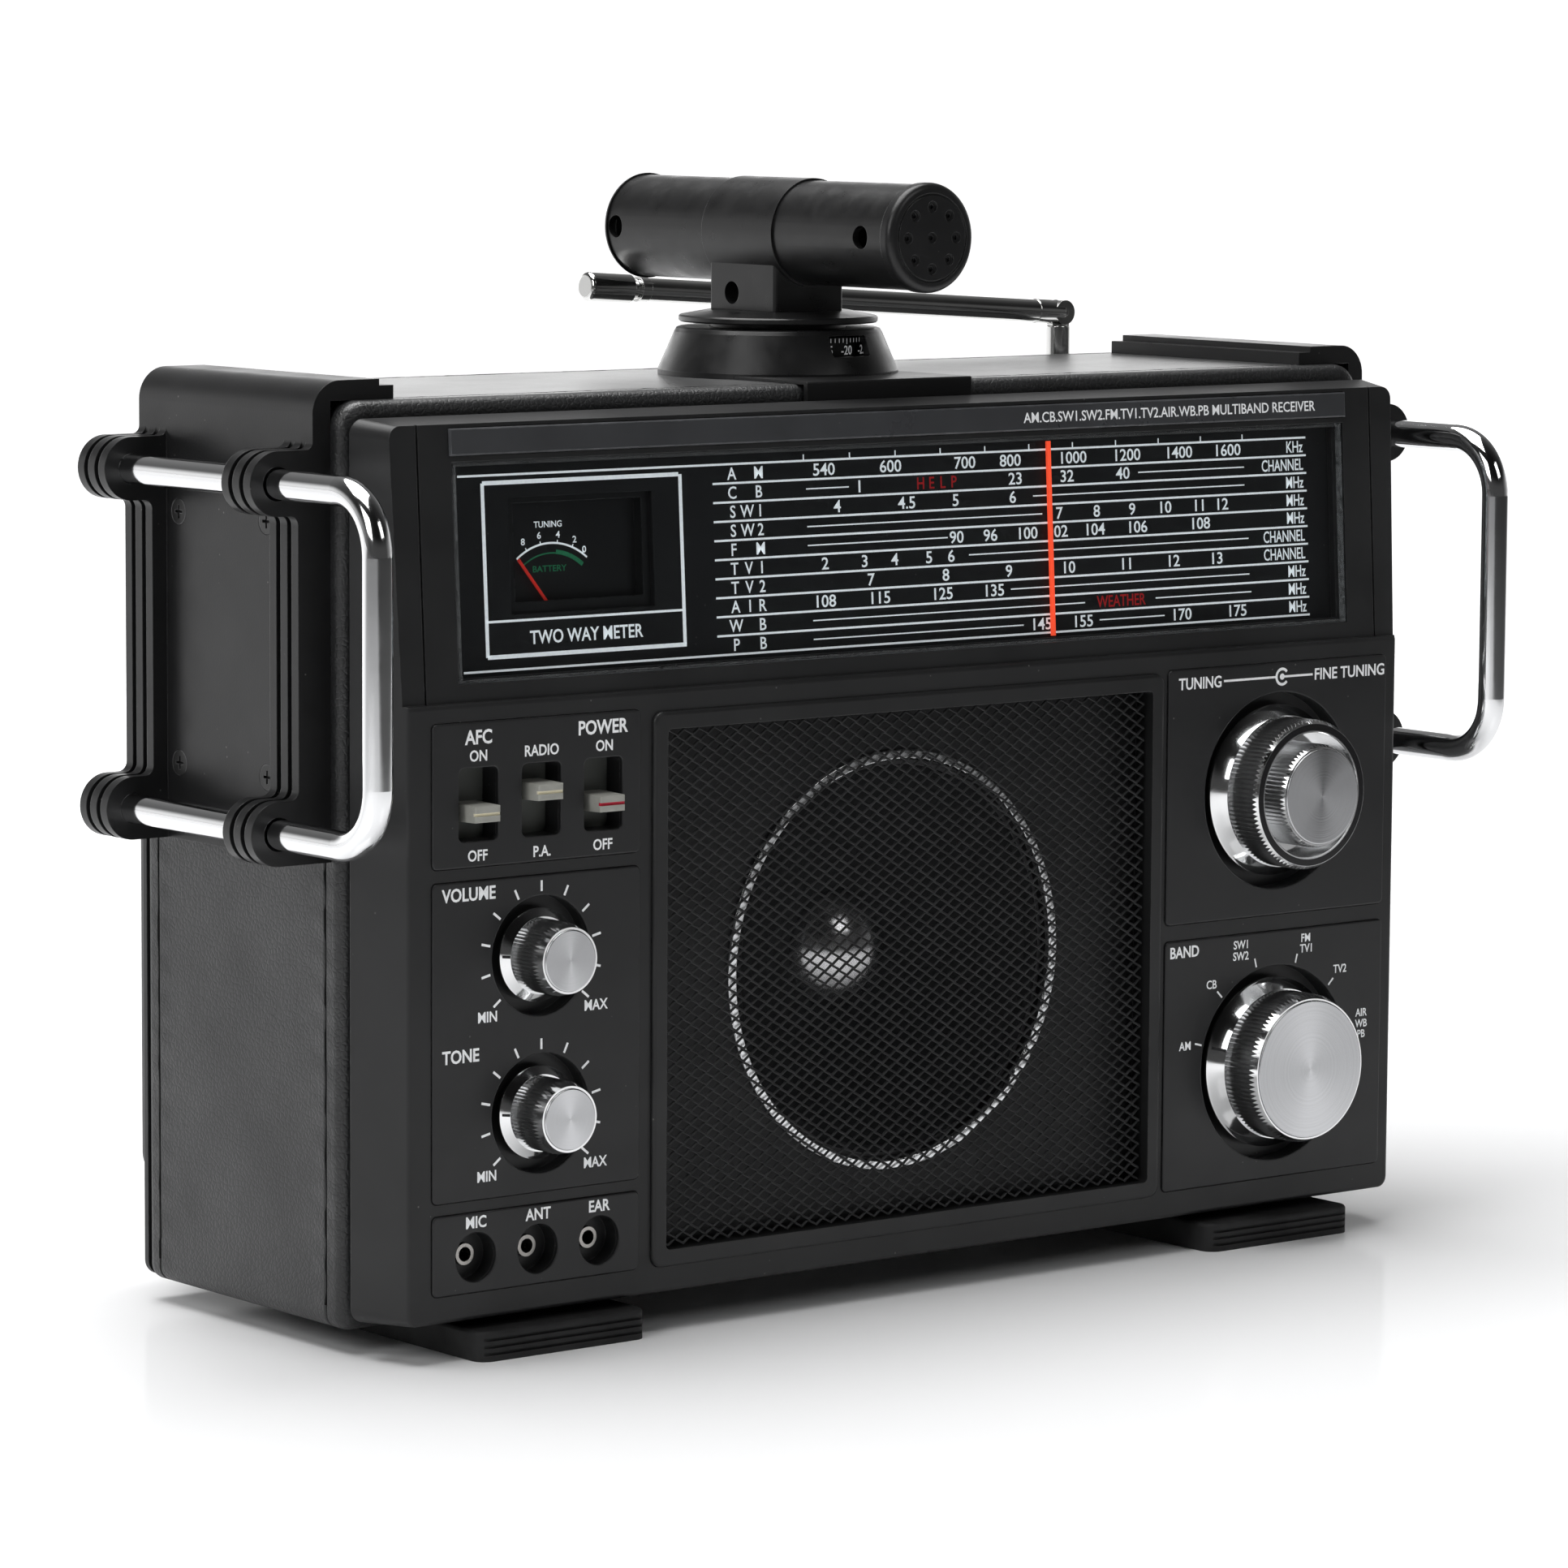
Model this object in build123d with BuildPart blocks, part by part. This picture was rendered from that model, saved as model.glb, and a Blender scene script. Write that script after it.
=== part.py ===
from build123d import *
import math
import os

os.makedirs("parts", exist_ok=True)

# ---------------------------------------------------------------------------
# Frame: +X right, +Y towards the back, +Z up, floor at Z = 0, millimetres.
# Depths ("d") are measured back from the flat face of the lower control panel.
# ---------------------------------------------------------------------------
PANEL_Y = -57.4

# Cabinet sleeve and back
CASE_HALF = 170.0
CASE_BOTTOM = 6.0
CASE_TOP = 236.5
CASE_CORNER = 7.0
CASE_FOOT_CORNER = 4.0
CASE_WALL = 5.0
FRONT_EDGE = 21.5
FRONT_SEAM = 28.75
REAR_SEAM = 104.25
REAR_EDGE = 110.4
COVER_RIM = 113.0
COVER_BACK = 134.0
COVER_HALF = 158.0
COVER_BOTTOM = 27.5
COVER_TOP = 230.0
COVER_WALL = 2.5

# Front moulding
FRONT_HALF = 165.0
FRONT_BOTTOM = 10.0
FRONT_TOP = 230.5
FLARE_HALF = 170.3
FLARE_BOTTOM = 9.1
FLARE_TOP = 232.5
FLARE_DEPTH = 17.5
LEDGE_Z = 163.3
LEDGE_DEPTH = 1.85
LEAN = 0.06
WALL = 3.0
TONGUE_HALF = 164.8
TONGUE_BOTTOM = 11.2
TONGUE_TOP = 231.3
TONGUE_END = 34.0

# Dial
WINDOW_HALF = 148.45
WINDOW_LOW = 167.8
WINDOW_HIGH = 221.8
WINDOW_THICK = 3.0
PLATE_DEPTH = 5.0
POINTER_X = 46.3
METER_X = -112.5
METER_Z = 182.8
METER_REST = 37.6

# Control panels: x0, x1, z0, z1
SWITCH_PANEL = (-158.25, -94.77, 122.8, 158.65)
VOLUME_PANEL = (-158.25, -94.77, 40.0, 119.5)
JACK_PANEL = (-158.25, -94.77, 16.9, 37.0)
TUNING_PANEL = (81.36, 161.0, 89.6, 158.3)
BAND_PANEL = (81.36, 161.0, 17.3, 85.2)
PANEL_PROUD = 0.6

# Knobs
SMALL_X = -125.4
VOLUME_Z = 99.4
TONE_Z = 59.9
SMALL_WELL = 15.0
LARGE_X = 121.5
TUNING_Z = 123.5
BAND_Z = 49.0
LARGE_WELL = 26.75

# Slide switches
SLOT_X = (-144.5, -125.4, -106.4)
SLOT_Z = 138.3
SLOT_W = 11.8
SLOT_H = 18.0
SLIDE_TRAVEL = 4.2

# Jacks
JACK_X = (-145.2, -126.3, -107.3)
JACK_Z = 25.8
JACK_WELL = 6.15

# Speaker
SPEAKER_X = -5.7
SPEAKER_Z = 87.1
BEZEL_HALF_X = 85.2
BEZEL_HALF_Z = 70.6
MESH_HALF_X = 81.0
MESH_HALF_Z = 66.1
MESH_W = 4.8
MESH_H = 3.2
MESH_STRAND = 0.75

# Brackets and bars
BRACKET_IN = 170.0
BRACKET_OUT = 175.2
BRACKET_LOW = 123.1
BRACKET_HIGH = 241.5
BRACKET_FRONT = 26.0
BRACKET_REAR = 104.0
RIB_OUT = 179.5
BAR_X = 185.5
BAR_HIGH = 216.8
BAR_LOW = 131.1
BAR_FRONT = -16.45
BAR_END = 102.0
BAR_R = 3.75
BAR_BEND = 15.0
BOSS_R = 8.0
DISC_STARTS = (26.0, 30.8, 35.6, 91.4, 96.2, 101.0)
DISC_THICK = 3.0
SCREW_DEPTHS = (46.5, 86.0)
SCREW_HEIGHTS = (206.0, 142.5)

# Direction-finder antenna
DF_X = 1.0
DF_DEPTH = 66.6
TUBE_Z = 274.2
TUBE_R = 13.7
CAP_R = 14.2
SLEEVE_R = 14.3
TUBE_FRONT = 2.9
TUBE_REAR = 125.2
REAR_CAP = 1.4
DRUM_TOP = 247.0
FLANGE_LOW = 250.4
FLANGE_TOP = 253.5

# Whip antenna
WHIP_X = 153.1
WHIP_DEPTH = 129.4
ELBOW_Z = 247.1
WHIP_RISE = 3.6


def front(depth):
    """Plane facing the user at a depth behind the control panel: local x = X, local y = Z."""
    return Plane(origin=(0, PANEL_Y + depth, 0), x_dir=(1, 0, 0), z_dir=(0, -1, 0))


LEAN_LENGTH = math.hypot(1.0, LEAN)


def lean(depth):
    """Plane of the leaning dial front, moved back by a depth; local y grows up the slope."""
    y = PANEL_Y + LEDGE_DEPTH + depth / LEAN_LENGTH
    z = LEDGE_Z - depth * LEAN / LEAN_LENGTH
    return Plane(origin=(0, y, z), x_dir=(1, 0, 0), z_dir=(0, -1, LEAN))


def up(z):
    """Height on the leaning front, from a height Z on its face."""
    return (z - LEDGE_Z) * LEAN_LENGTH


def axial(x, z):
    """Plane through a front-to-back axis: local x = radius, local y = depth."""
    return Plane(origin=(x, PANEL_Y, z))


def depth_axis(x, z):
    return Axis((x, PANEL_Y, z), (0, 1, 0))


def box_at(x0, x1, z0, z1):
    """Rectangle between two X and two Z values on a front plane."""
    with Locations(((x0 + x1) / 2, (z0 + z1) / 2)):
        Rectangle(x1 - x0, z1 - z0)


def knurl_points(count, outer, inner):
    points = []
    for i in range(count):
        a = 2 * math.pi * i / count
        b = 2 * math.pi * (i + 0.5) / count
        points.append((outer * math.cos(a), outer * math.sin(a)))
        points.append((inner * math.cos(b), inner * math.sin(b)))
    return points


def save(part, label):
    part.label = label
    export_step(part, "parts/" + label + ".step")


# ---------------------------------------------------------------------------
# Cabinet sleeve: wrapped box open at front and back
# ---------------------------------------------------------------------------
CASE_MID = (CASE_BOTTOM + CASE_TOP) / 2
CASE_HIGH = CASE_TOP - CASE_BOTTOM

def case_outline(inset=0.0):
    """Outline of the wrapped case, rounder at its upper corners than at its lower ones."""
    half, low, high = CASE_HALF - inset, CASE_BOTTOM + inset, CASE_TOP - inset
    with Locations((0, (CASE_MID + high) / 2)):
        RectangleRounded(2 * half, high - CASE_MID, CASE_CORNER)
    with Locations((0, (CASE_MID + low) / 2)):
        RectangleRounded(2 * half, CASE_MID - low, CASE_FOOT_CORNER)
    box_at(-half, half, CASE_MID - 20, CASE_MID + 20)


with BuildPart() as cabinet_sleeve:
    with BuildSketch(front(FRONT_SEAM + 0.15)):
        case_outline()
        with Locations((0, CASE_MID)):
            RectangleRounded(
                2 * (CASE_HALF - CASE_WALL), CASE_HIGH - 2 * CASE_WALL, 2.0, mode=Mode.SUBTRACT
            )
    extrude(amount=-(REAR_SEAM - FRONT_SEAM - 0.3))
    fillet(cabinet_sleeve.faces().sort_by(Axis.Y)[0].outer_wire().edges(), 0.6)
    fillet(cabinet_sleeve.faces().sort_by(Axis.Y)[-1].outer_wire().edges(), 0.6)
    for d in SCREW_DEPTHS:
        for z in SCREW_HEIGHTS:
            with BuildSketch(Plane.YZ.offset(-CASE_HALF - 1)):
                with Locations((PANEL_Y + d, z)):
                    Circle(1.55)
            extrude(amount=2 * CASE_HALF + 2, mode=Mode.SUBTRACT)
save(cabinet_sleeve.part, "cabinet_sleeve")

# ---------------------------------------------------------------------------
# Rolled edge piping, one ring at the front and one at the back
# ---------------------------------------------------------------------------
with BuildPart() as edge_piping:
    with BuildSketch(front(FRONT_EDGE)):
        case_outline()
        with Locations((0, CASE_MID)):
            RectangleRounded(
                2 * (CASE_HALF - CASE_WALL), CASE_HIGH - 2 * CASE_WALL, 2.0, mode=Mode.SUBTRACT
            )
    extrude(amount=-(FRONT_SEAM - 0.15 - FRONT_EDGE))
    front_rim = edge_piping.faces().sort_by(Axis.Y)
    fillet(front_rim[0].outer_wire().edges(), 3.6)
    fillet(edge_piping.faces().sort_by(Axis.Y)[-1].outer_wire().edges(), 0.6)
    with BuildSketch(front(REAR_SEAM + 0.15)):
        case_outline()
        with Locations((0, CASE_MID)):
            RectangleRounded(
                2 * (CASE_HALF - CASE_WALL), CASE_HIGH - 2 * CASE_WALL, 2.0, mode=Mode.SUBTRACT
            )
    extrude(amount=-(REAR_EDGE - REAR_SEAM - 0.15))
    fillet(edge_piping.faces().sort_by(Axis.Y)[-1].outer_wire().edges(), 3.2)
save(edge_piping.part, "edge_piping")

# ---------------------------------------------------------------------------
# Back cover with raised box, battery compartment, board posts and whip boss
# ---------------------------------------------------------------------------
DOOR_HALF = 60.0
DOOR_LOW = 45.0
DOOR_HIGH = 105.0
BOARD_DEPTH = 75.6
COVER_SCREWS = (
    (-162.8, 205.0), (162.8, 205.0), (-162.8, 90.0), (162.8, 90.0), (-110.0, 17.0), (110.0, 17.0),
)

with BuildPart() as back_cover:
    with BuildSketch(front(REAR_EDGE + 0.1)):
        case_outline(0.5)
    extrude(amount=-(COVER_RIM - REAR_EDGE - 0.1))
    fillet(back_cover.faces().sort_by(Axis.Y)[-1].outer_wire().edges(), 1.0)
    with BuildSketch(front(COVER_RIM)):
        with Locations((0, (COVER_BOTTOM + COVER_TOP) / 2)):
            RectangleRounded(2 * COVER_HALF, COVER_TOP - COVER_BOTTOM, CASE_CORNER)
    extrude(amount=-(COVER_BACK - COVER_RIM))
    fillet(back_cover.faces().sort_by(Axis.Y)[-1].outer_wire().edges(), 4.0)
    with BuildSketch(front(REAR_EDGE)):
        with Locations((0, (COVER_BOTTOM + COVER_TOP) / 2)):
            RectangleRounded(
                2 * (COVER_HALF - COVER_WALL), COVER_TOP - COVER_BOTTOM - 2 * COVER_WALL, 4.5
            )
    extrude(amount=-(COVER_BACK - COVER_WALL - REAR_EDGE), mode=Mode.SUBTRACT)
    with BuildSketch(front(101.0)):
        box_at(-DOOR_HALF - 2.5, DOOR_HALF + 2.5, DOOR_LOW - 2.5, DOOR_HIGH + 2.5)
    extrude(amount=-(COVER_BACK - 1.0 - 101.0))
    with BuildSketch(front(103.0)):
        box_at(-DOOR_HALF - 0.3, DOOR_HALF + 0.3, DOOR_LOW - 0.3, DOOR_HIGH + 0.3)
    extrude(amount=-(COVER_BACK + 2.0 - 103.0), mode=Mode.SUBTRACT)
    with BuildSketch(front(BOARD_DEPTH)):
        with Locations((-130, 36), (130, 36), (-130, 214), (130, 214)):
            Circle(4.0)
    extrude(amount=-(COVER_BACK - 1.0 - BOARD_DEPTH))
    with BuildSketch(Plane.XY.offset(200.0)):
        with Locations((WHIP_X, PANEL_Y + WHIP_DEPTH)):
            Circle(5.6)
    extrude(amount=32.5)
    with BuildSketch(Plane.XY.offset(206.0)):
        with Locations((WHIP_X, PANEL_Y + WHIP_DEPTH)):
            Circle(3.55)
    extrude(amount=40, mode=Mode.SUBTRACT)
    for x, z in COVER_SCREWS:
        with BuildSketch(axial(x, z)):
            with BuildLine():
                Polyline(
                    (0, 105), (1.55, 105), (1.55, COVER_RIM - 1.9), (3.35, COVER_RIM - 0.1),
                    (3.35, 115), (0, 115), close=True,
                )
            make_face()
        revolve(axis=depth_axis(x, z), mode=Mode.SUBTRACT)
save(back_cover.part, "back_cover")

with BuildPart() as battery_door:
    with BuildSketch(front(131.8)):
        box_at(-DOOR_HALF, DOOR_HALF, DOOR_LOW, DOOR_HIGH)
    extrude(amount=-2.1)
    for x in (-40.0, -32.0, -24.0, -16.0, 16.0, 24.0, 32.0, 40.0):
        with BuildSketch(front(133.2)):
            box_at(x - 1.2, x + 1.2, DOOR_HIGH - 22.0, DOOR_HIGH - 8.0)
        extrude(amount=-1.0, mode=Mode.SUBTRACT)
    with BuildSketch(front(133.0)):
        box_at(-9.0, 9.0, DOOR_HIGH - 9.0, DOOR_HIGH + 1.0)
    extrude(amount=-2.0, mode=Mode.SUBTRACT)
save(battery_door.part, "battery_door")

# ---------------------------------------------------------------------------
# Front moulding: flared frame with a flat control face and a leaning dial face
# ---------------------------------------------------------------------------
SMALL_WELLS = ((SMALL_X, VOLUME_Z), (SMALL_X, TONE_Z))
LARGE_WELLS = ((LARGE_X, TUNING_Z), (LARGE_X, BAND_Z))
PANELS = (SWITCH_PANEL, VOLUME_PANEL, JACK_PANEL, TUNING_PANEL, BAND_PANEL)
BAFFLE = 8.0

with BuildPart() as front_moulding:
    with BuildSketch(front(0)):
        with Locations((0, (FRONT_BOTTOM + FRONT_TOP) / 2)):
            RectangleRounded(2 * FRONT_HALF, FRONT_TOP - FRONT_BOTTOM, 3.0)
    with BuildSketch(front(FLARE_DEPTH)):
        with Locations((0, (FLARE_BOTTOM + FLARE_TOP) / 2)):
            RectangleRounded(2 * FLARE_HALF, FLARE_TOP - FLARE_BOTTOM, 4.0)
    loft()
    with BuildSketch(Plane.YZ.offset(-FLARE_HALF - 5)):
        with BuildLine():
            Polyline(
                (PANEL_Y - 10, LEDGE_Z),
                (PANEL_Y + LEDGE_DEPTH, LEDGE_Z),
                (PANEL_Y + LEDGE_DEPTH + LEAN * 80, LEDGE_Z + 80),
                (PANEL_Y - 10, LEDGE_Z + 80),
                close=True,
            )
        make_face()
    extrude(amount=2 * FLARE_HALF + 10, mode=Mode.SUBTRACT)
    front_faces = front_moulding.faces().filter_by(Plane.XZ).sort_by(Axis.Y)
    fillet(front_faces[0].outer_wire().edges(), 1.2)
    with BuildSketch(front(FLARE_DEPTH)):
        with Locations((0, (TONGUE_BOTTOM + TONGUE_TOP) / 2)):
            RectangleRounded(2 * TONGUE_HALF, TONGUE_TOP - TONGUE_BOTTOM, 1.8)
    extrude(amount=-(TONGUE_END - FLARE_DEPTH))
    # Hollow behind the control face
    with BuildSketch(front(WALL)):
        box_at(-TONGUE_HALF + 2.5, TONGUE_HALF - 2.5, TONGUE_BOTTOM + 2.5, 160.5)
    extrude(amount=-(TONGUE_END - WALL + 1), mode=Mode.SUBTRACT)
    # Hollow behind the dial face
    with BuildSketch(lean(PLATE_DEPTH)):
        box_at(-TONGUE_HALF + 2.5, TONGUE_HALF - 2.5, up(165.5), up(227.5))
    extrude(amount=-9, mode=Mode.SUBTRACT)
    with BuildSketch(front(12.5)):
        box_at(-TONGUE_HALF + 2.5, TONGUE_HALF - 2.5, 150, TONGUE_TOP - 2.5)
    extrude(amount=-(TONGUE_END - 11.5), mode=Mode.SUBTRACT)
    # Window seat and the narrower opening behind it
    with BuildSketch(lean(-2)):
        box_at(-WINDOW_HALF - 0.1, WINDOW_HALF + 0.1, up(WINDOW_LOW - 0.1), up(WINDOW_HIGH + 0.1))
    extrude(amount=-(WINDOW_THICK + 2), mode=Mode.SUBTRACT)
    with BuildSketch(lean(1)):
        box_at(-WINDOW_HALF + 1.2, WINDOW_HALF - 1.2, up(WINDOW_LOW + 1.1), up(WINDOW_HIGH - 1.1))
    extrude(amount=-8, mode=Mode.SUBTRACT)
    # Title strip seat
    with BuildSketch(lean(-2)):
        box_at(-149.3, 149.3, up(223.3), up(230.2))
    extrude(amount=-2.6, mode=Mode.SUBTRACT)
    # Fine shadow lines beside the dial
    for side in (-1, 1):
        with BuildSketch(lean(-1)):
            box_at(side * 158.6 - 0.3, side * 158.6 + 0.3, up(LEDGE_Z - 1), up(233))
        extrude(amount=-1.7, mode=Mode.SUBTRACT)
    # Cups, boxes and baffle box carried by the control face
    with BuildSketch(front(WALL)):
        with Locations(*SMALL_WELLS):
            Circle(SMALL_WELL + 1.8)
    extrude(amount=-3)
    with BuildSketch(front(WALL)):
        with Locations(*LARGE_WELLS):
            Circle(LARGE_WELL + 1.8)
    extrude(amount=-4)
    with BuildSketch(front(WALL)):
        for x in SLOT_X:
            box_at(x - SLOT_W / 2 - 1.2, x + SLOT_W / 2 + 1.2, SLOT_Z - SLOT_H / 2 - 1.2, SLOT_Z + SLOT_H / 2 + 1.2)
    extrude(amount=-3)
    with BuildSketch(front(WALL)):
        for x in JACK_X:
            with Locations((x, JACK_Z)):
                Circle(JACK_WELL + 1.8)
    extrude(amount=-4)
    with BuildSketch(front(WALL)):
        box_at(
            SPEAKER_X - MESH_HALF_X - 4, SPEAKER_X + MESH_HALF_X + 4,
            SPEAKER_Z - MESH_HALF_Z - 4, SPEAKER_Z + MESH_HALF_Z + 4,
        )
    extrude(amount=-(BAFFLE + 2 - WALL))
    with BuildSketch(front(-2)):
        box_at(
            SPEAKER_X - MESH_HALF_X - 2.1, SPEAKER_X + MESH_HALF_X + 2.1,
            SPEAKER_Z - MESH_HALF_Z - 2.1, SPEAKER_Z + MESH_HALF_Z + 2.1,
        )
    extrude(amount=-(BAFFLE + 2), mode=Mode.SUBTRACT)
    with BuildSketch(front(BAFFLE - 1)):
        with Locations((SPEAKER_X, SPEAKER_Z)):
            Circle(52.0)
    extrude(amount=-5, mode=Mode.SUBTRACT)
    # Pockets for the raised panels
    with BuildSketch(front(-2)):
        for x0, x1, z0, z1 in PANELS:
            with Locations(((x0 + x1) / 2, (z0 + z1) / 2)):
                RectangleRounded(x1 - x0 + 0.2, z1 - z0 + 0.2, 1.6)
    extrude(amount=-2.6, mode=Mode.SUBTRACT)
    # Wells, slots and shaft holes
    with BuildSketch(front(-2)):
        with Locations(*SMALL_WELLS):
            Circle(SMALL_WELL)
    extrude(amount=-6, mode=Mode.SUBTRACT)
    with BuildSketch(front(-2)):
        with Locations(*LARGE_WELLS):
            Circle(LARGE_WELL)
    extrude(amount=-7, mode=Mode.SUBTRACT)
    with BuildSketch(front(-2)):
        with Locations(*SMALL_WELLS):
            Circle(3.4)
        with Locations((LARGE_X, TUNING_Z)):
            Circle(5.4)
        with Locations((LARGE_X, BAND_Z)):
            Circle(3.4)
    extrude(amount=-12, mode=Mode.SUBTRACT)
    with BuildSketch(front(-2)):
        for x in SLOT_X:
            with Locations((x, SLOT_Z)):
                RectangleRounded(SLOT_W, SLOT_H, 1.5)
    extrude(amount=-10, mode=Mode.SUBTRACT)
    with BuildSketch(front(-2)):
        with Locations(*[(x, JACK_Z) for x in JACK_X]):
            Circle(JACK_WELL)
    extrude(amount=-7, mode=Mode.SUBTRACT)
    with BuildSketch(front(-2)):
        with Locations(*[(x, JACK_Z) for x in JACK_X]):
            Circle(2.8)
    extrude(amount=-12, mode=Mode.SUBTRACT)
save(front_moulding.part, "front_moulding")

# ---------------------------------------------------------------------------
# Title strip, dial window, dial plate, pointer and tuning meter
# ---------------------------------------------------------------------------
with BuildPart() as title_strip:
    with BuildSketch(lean(-0.8)):
        box_at(-149.2, 149.2, up(223.4), up(230.1))
    extrude(amount=-1.4)
    strip_front = title_strip.faces().sort_by(Axis.Y)[0]
    chamfer(strip_front.outer_wire().edges(), 0.35)
save(title_strip.part, "title_strip")

with BuildPart() as dial_window:
    with BuildSketch(lean(-0.3)):
        box_at(-WINDOW_HALF, WINDOW_HALF, up(WINDOW_LOW), up(WINDOW_HIGH))
    extrude(amount=-(WINDOW_THICK + 0.3))
    chamfer(dial_window.faces().sort_by(Axis.Y)[0].outer_wire().edges(), 0.9)
save(dial_window.part, "dial_window")

with BuildPart() as dial_plate:
    with BuildSketch(lean(PLATE_DEPTH)):
        box_at(-151, 151, up(166.5), up(224))
        box_at(-128.4, -84.0, up(183.7), up(212.5))
    extrude(amount=-1.5)
    with BuildSketch(lean(PLATE_DEPTH - 1)):
        box_at(-128.4, -84.0, up(183.7), up(212.5))
    extrude(amount=-4, mode=Mode.SUBTRACT)
save(dial_plate.part, "dial_plate")

with BuildPart() as dial_pointer:
    with BuildSketch(lean(3.6)):
        box_at(POINTER_X - 0.6, POINTER_X + 0.6, up(169.3), up(220.4))
    extrude(amount=-0.7)
save(dial_pointer.part, "dial_pointer")

with BuildPart() as meter_case:
    with BuildSketch(lean(PLATE_DEPTH + 1.5)):
        box_at(-132.0, -80.0, up(178.0), up(214.5))
    extrude(amount=-22)
    with BuildSketch(lean(PLATE_DEPTH + 1.5)):
        box_at(-126.0, -86.4, up(181.0), up(211.0))
    extrude(amount=-3.0, mode=Mode.SUBTRACT)
    with BuildSketch(lean(PLATE_DEPTH + 1.5)):
        box_at(-126.0, -86.4, up(181.0), up(186.6))
    extrude(amount=-0.6)
    with BuildSketch(lean(PLATE_DEPTH + 4)):
        with Locations((METER_X, up(METER_Z))):
            Circle(1.1)
    extrude(amount=-5, mode=Mode.SUBTRACT)
save(meter_case.part, "meter_case")

with BuildPart() as meter_needle:
    with BuildSketch(lean(8.0)):
        with Locations((METER_X, up(METER_Z))):
            with Locations(Rotation(0, 0, METER_REST)):
                with Locations((0, 9.0)):
                    Rectangle(0.7, 18.0)
            Circle(1.5)
    extrude(amount=-0.4)
    with BuildSketch(lean(8.0)):
        with Locations((METER_X, up(METER_Z))):
            Circle(0.9)
    extrude(amount=-5)
save(meter_needle.part, "meter_needle")

# ---------------------------------------------------------------------------
# Raised control panels
# ---------------------------------------------------------------------------


def panel_plate(label, panel, holes):
    """Thin plate in its pocket, with its wells cut through and its front edge eased."""
    x0, x1, z0, z1 = panel
    with BuildPart() as plate:
        with BuildSketch(front(-PANEL_PROUD)):
            with Locations(((x0 + x1) / 2, (z0 + z1) / 2)):
                RectangleRounded(x1 - x0, z1 - z0, 1.5)
        extrude(amount=-2 * PANEL_PROUD)
        fillet(plate.faces().sort_by(Axis.Y)[0].outer_wire().edges(), 0.45)
        with BuildSketch(front(-2)):
            for x, z, width, height in holes:
                with Locations((x, z)):
                    if height == 0:
                        Circle(width)
                    else:
                        RectangleRounded(width, height, 1.5)
        extrude(amount=-4, mode=Mode.SUBTRACT)
        fillet([w.edges() for w in plate.faces().sort_by(Axis.Y)[0].inner_wires()], 0.3)
    save(plate.part, label)


panel_plate("switch_plate", SWITCH_PANEL, [(x, SLOT_Z, SLOT_W, SLOT_H) for x in SLOT_X])
panel_plate("volume_tone_plate", VOLUME_PANEL, [(x, z, SMALL_WELL, 0) for x, z in SMALL_WELLS])
panel_plate("jack_plate", JACK_PANEL, [(x, JACK_Z, JACK_WELL, 0) for x in JACK_X])
panel_plate("tuning_plate", TUNING_PANEL, [(LARGE_X, TUNING_Z, LARGE_WELL, 0)])
panel_plate("band_plate", BAND_PANEL, [(LARGE_X, BAND_Z, LARGE_WELL, 0)])

# ---------------------------------------------------------------------------
# Speaker: bezel, expanded mesh, ring, cone, dust cap, basket and magnet
# ---------------------------------------------------------------------------
with BuildPart() as speaker_bezel:
    with BuildSketch(front(-1.2)):
        with Locations((SPEAKER_X, SPEAKER_Z)):
            RectangleRounded(2 * BEZEL_HALF_X, 2 * BEZEL_HALF_Z, 3.0)
    extrude(amount=-1.2)
    fillet(speaker_bezel.faces().sort_by(Axis.Y)[0].outer_wire().edges(), 1.0)
    with BuildSketch(front(-0.2)):
        with Locations((SPEAKER_X, SPEAKER_Z)):
            Rectangle(2 * MESH_HALF_X + 4, 2 * MESH_HALF_Z + 4)
    extrude(amount=-4.2)
    with BuildSketch(front(-2)):
        with Locations((SPEAKER_X, SPEAKER_Z)):
            RectangleRounded(2 * MESH_HALF_X, 2 * MESH_HALF_Z, 1.2)
    extrude(amount=-8, mode=Mode.SUBTRACT)
save(speaker_bezel.part, "speaker_bezel")

STRAND_ANGLE = math.degrees(math.atan2(MESH_H, MESH_W))
STRAND_STEP = MESH_W * MESH_H / math.hypot(MESH_W, MESH_H)

with BuildPart() as speaker_mesh:
    for layer, turn in ((1.0, STRAND_ANGLE), (1.62, -STRAND_ANGLE)):
        with BuildSketch(front(layer)):
            with Locations((SPEAKER_X, SPEAKER_Z)):
                with Locations(Rotation(0, 0, turn)):
                    with GridLocations(1, STRAND_STEP, 1, 75):
                        Rectangle(240, MESH_STRAND)
                RectangleRounded(2 * MESH_HALF_X - 0.04, 2 * MESH_HALF_Z - 0.04, 1.25, mode=Mode.INTERSECT)
        extrude(amount=-0.6)
save(speaker_mesh.part, "speaker_mesh")

with BuildPart() as speaker_ring:
    with BuildSketch(front(6.9)):
        with Locations((SPEAKER_X, SPEAKER_Z)):
            Circle(55.2)
            Circle(52.4, mode=Mode.SUBTRACT)
    extrude(amount=-(BAFFLE - 6.9))
    fillet(speaker_ring.faces().sort_by(Axis.Y)[0].edges(), 0.5)
save(speaker_ring.part, "speaker_ring")

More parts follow.
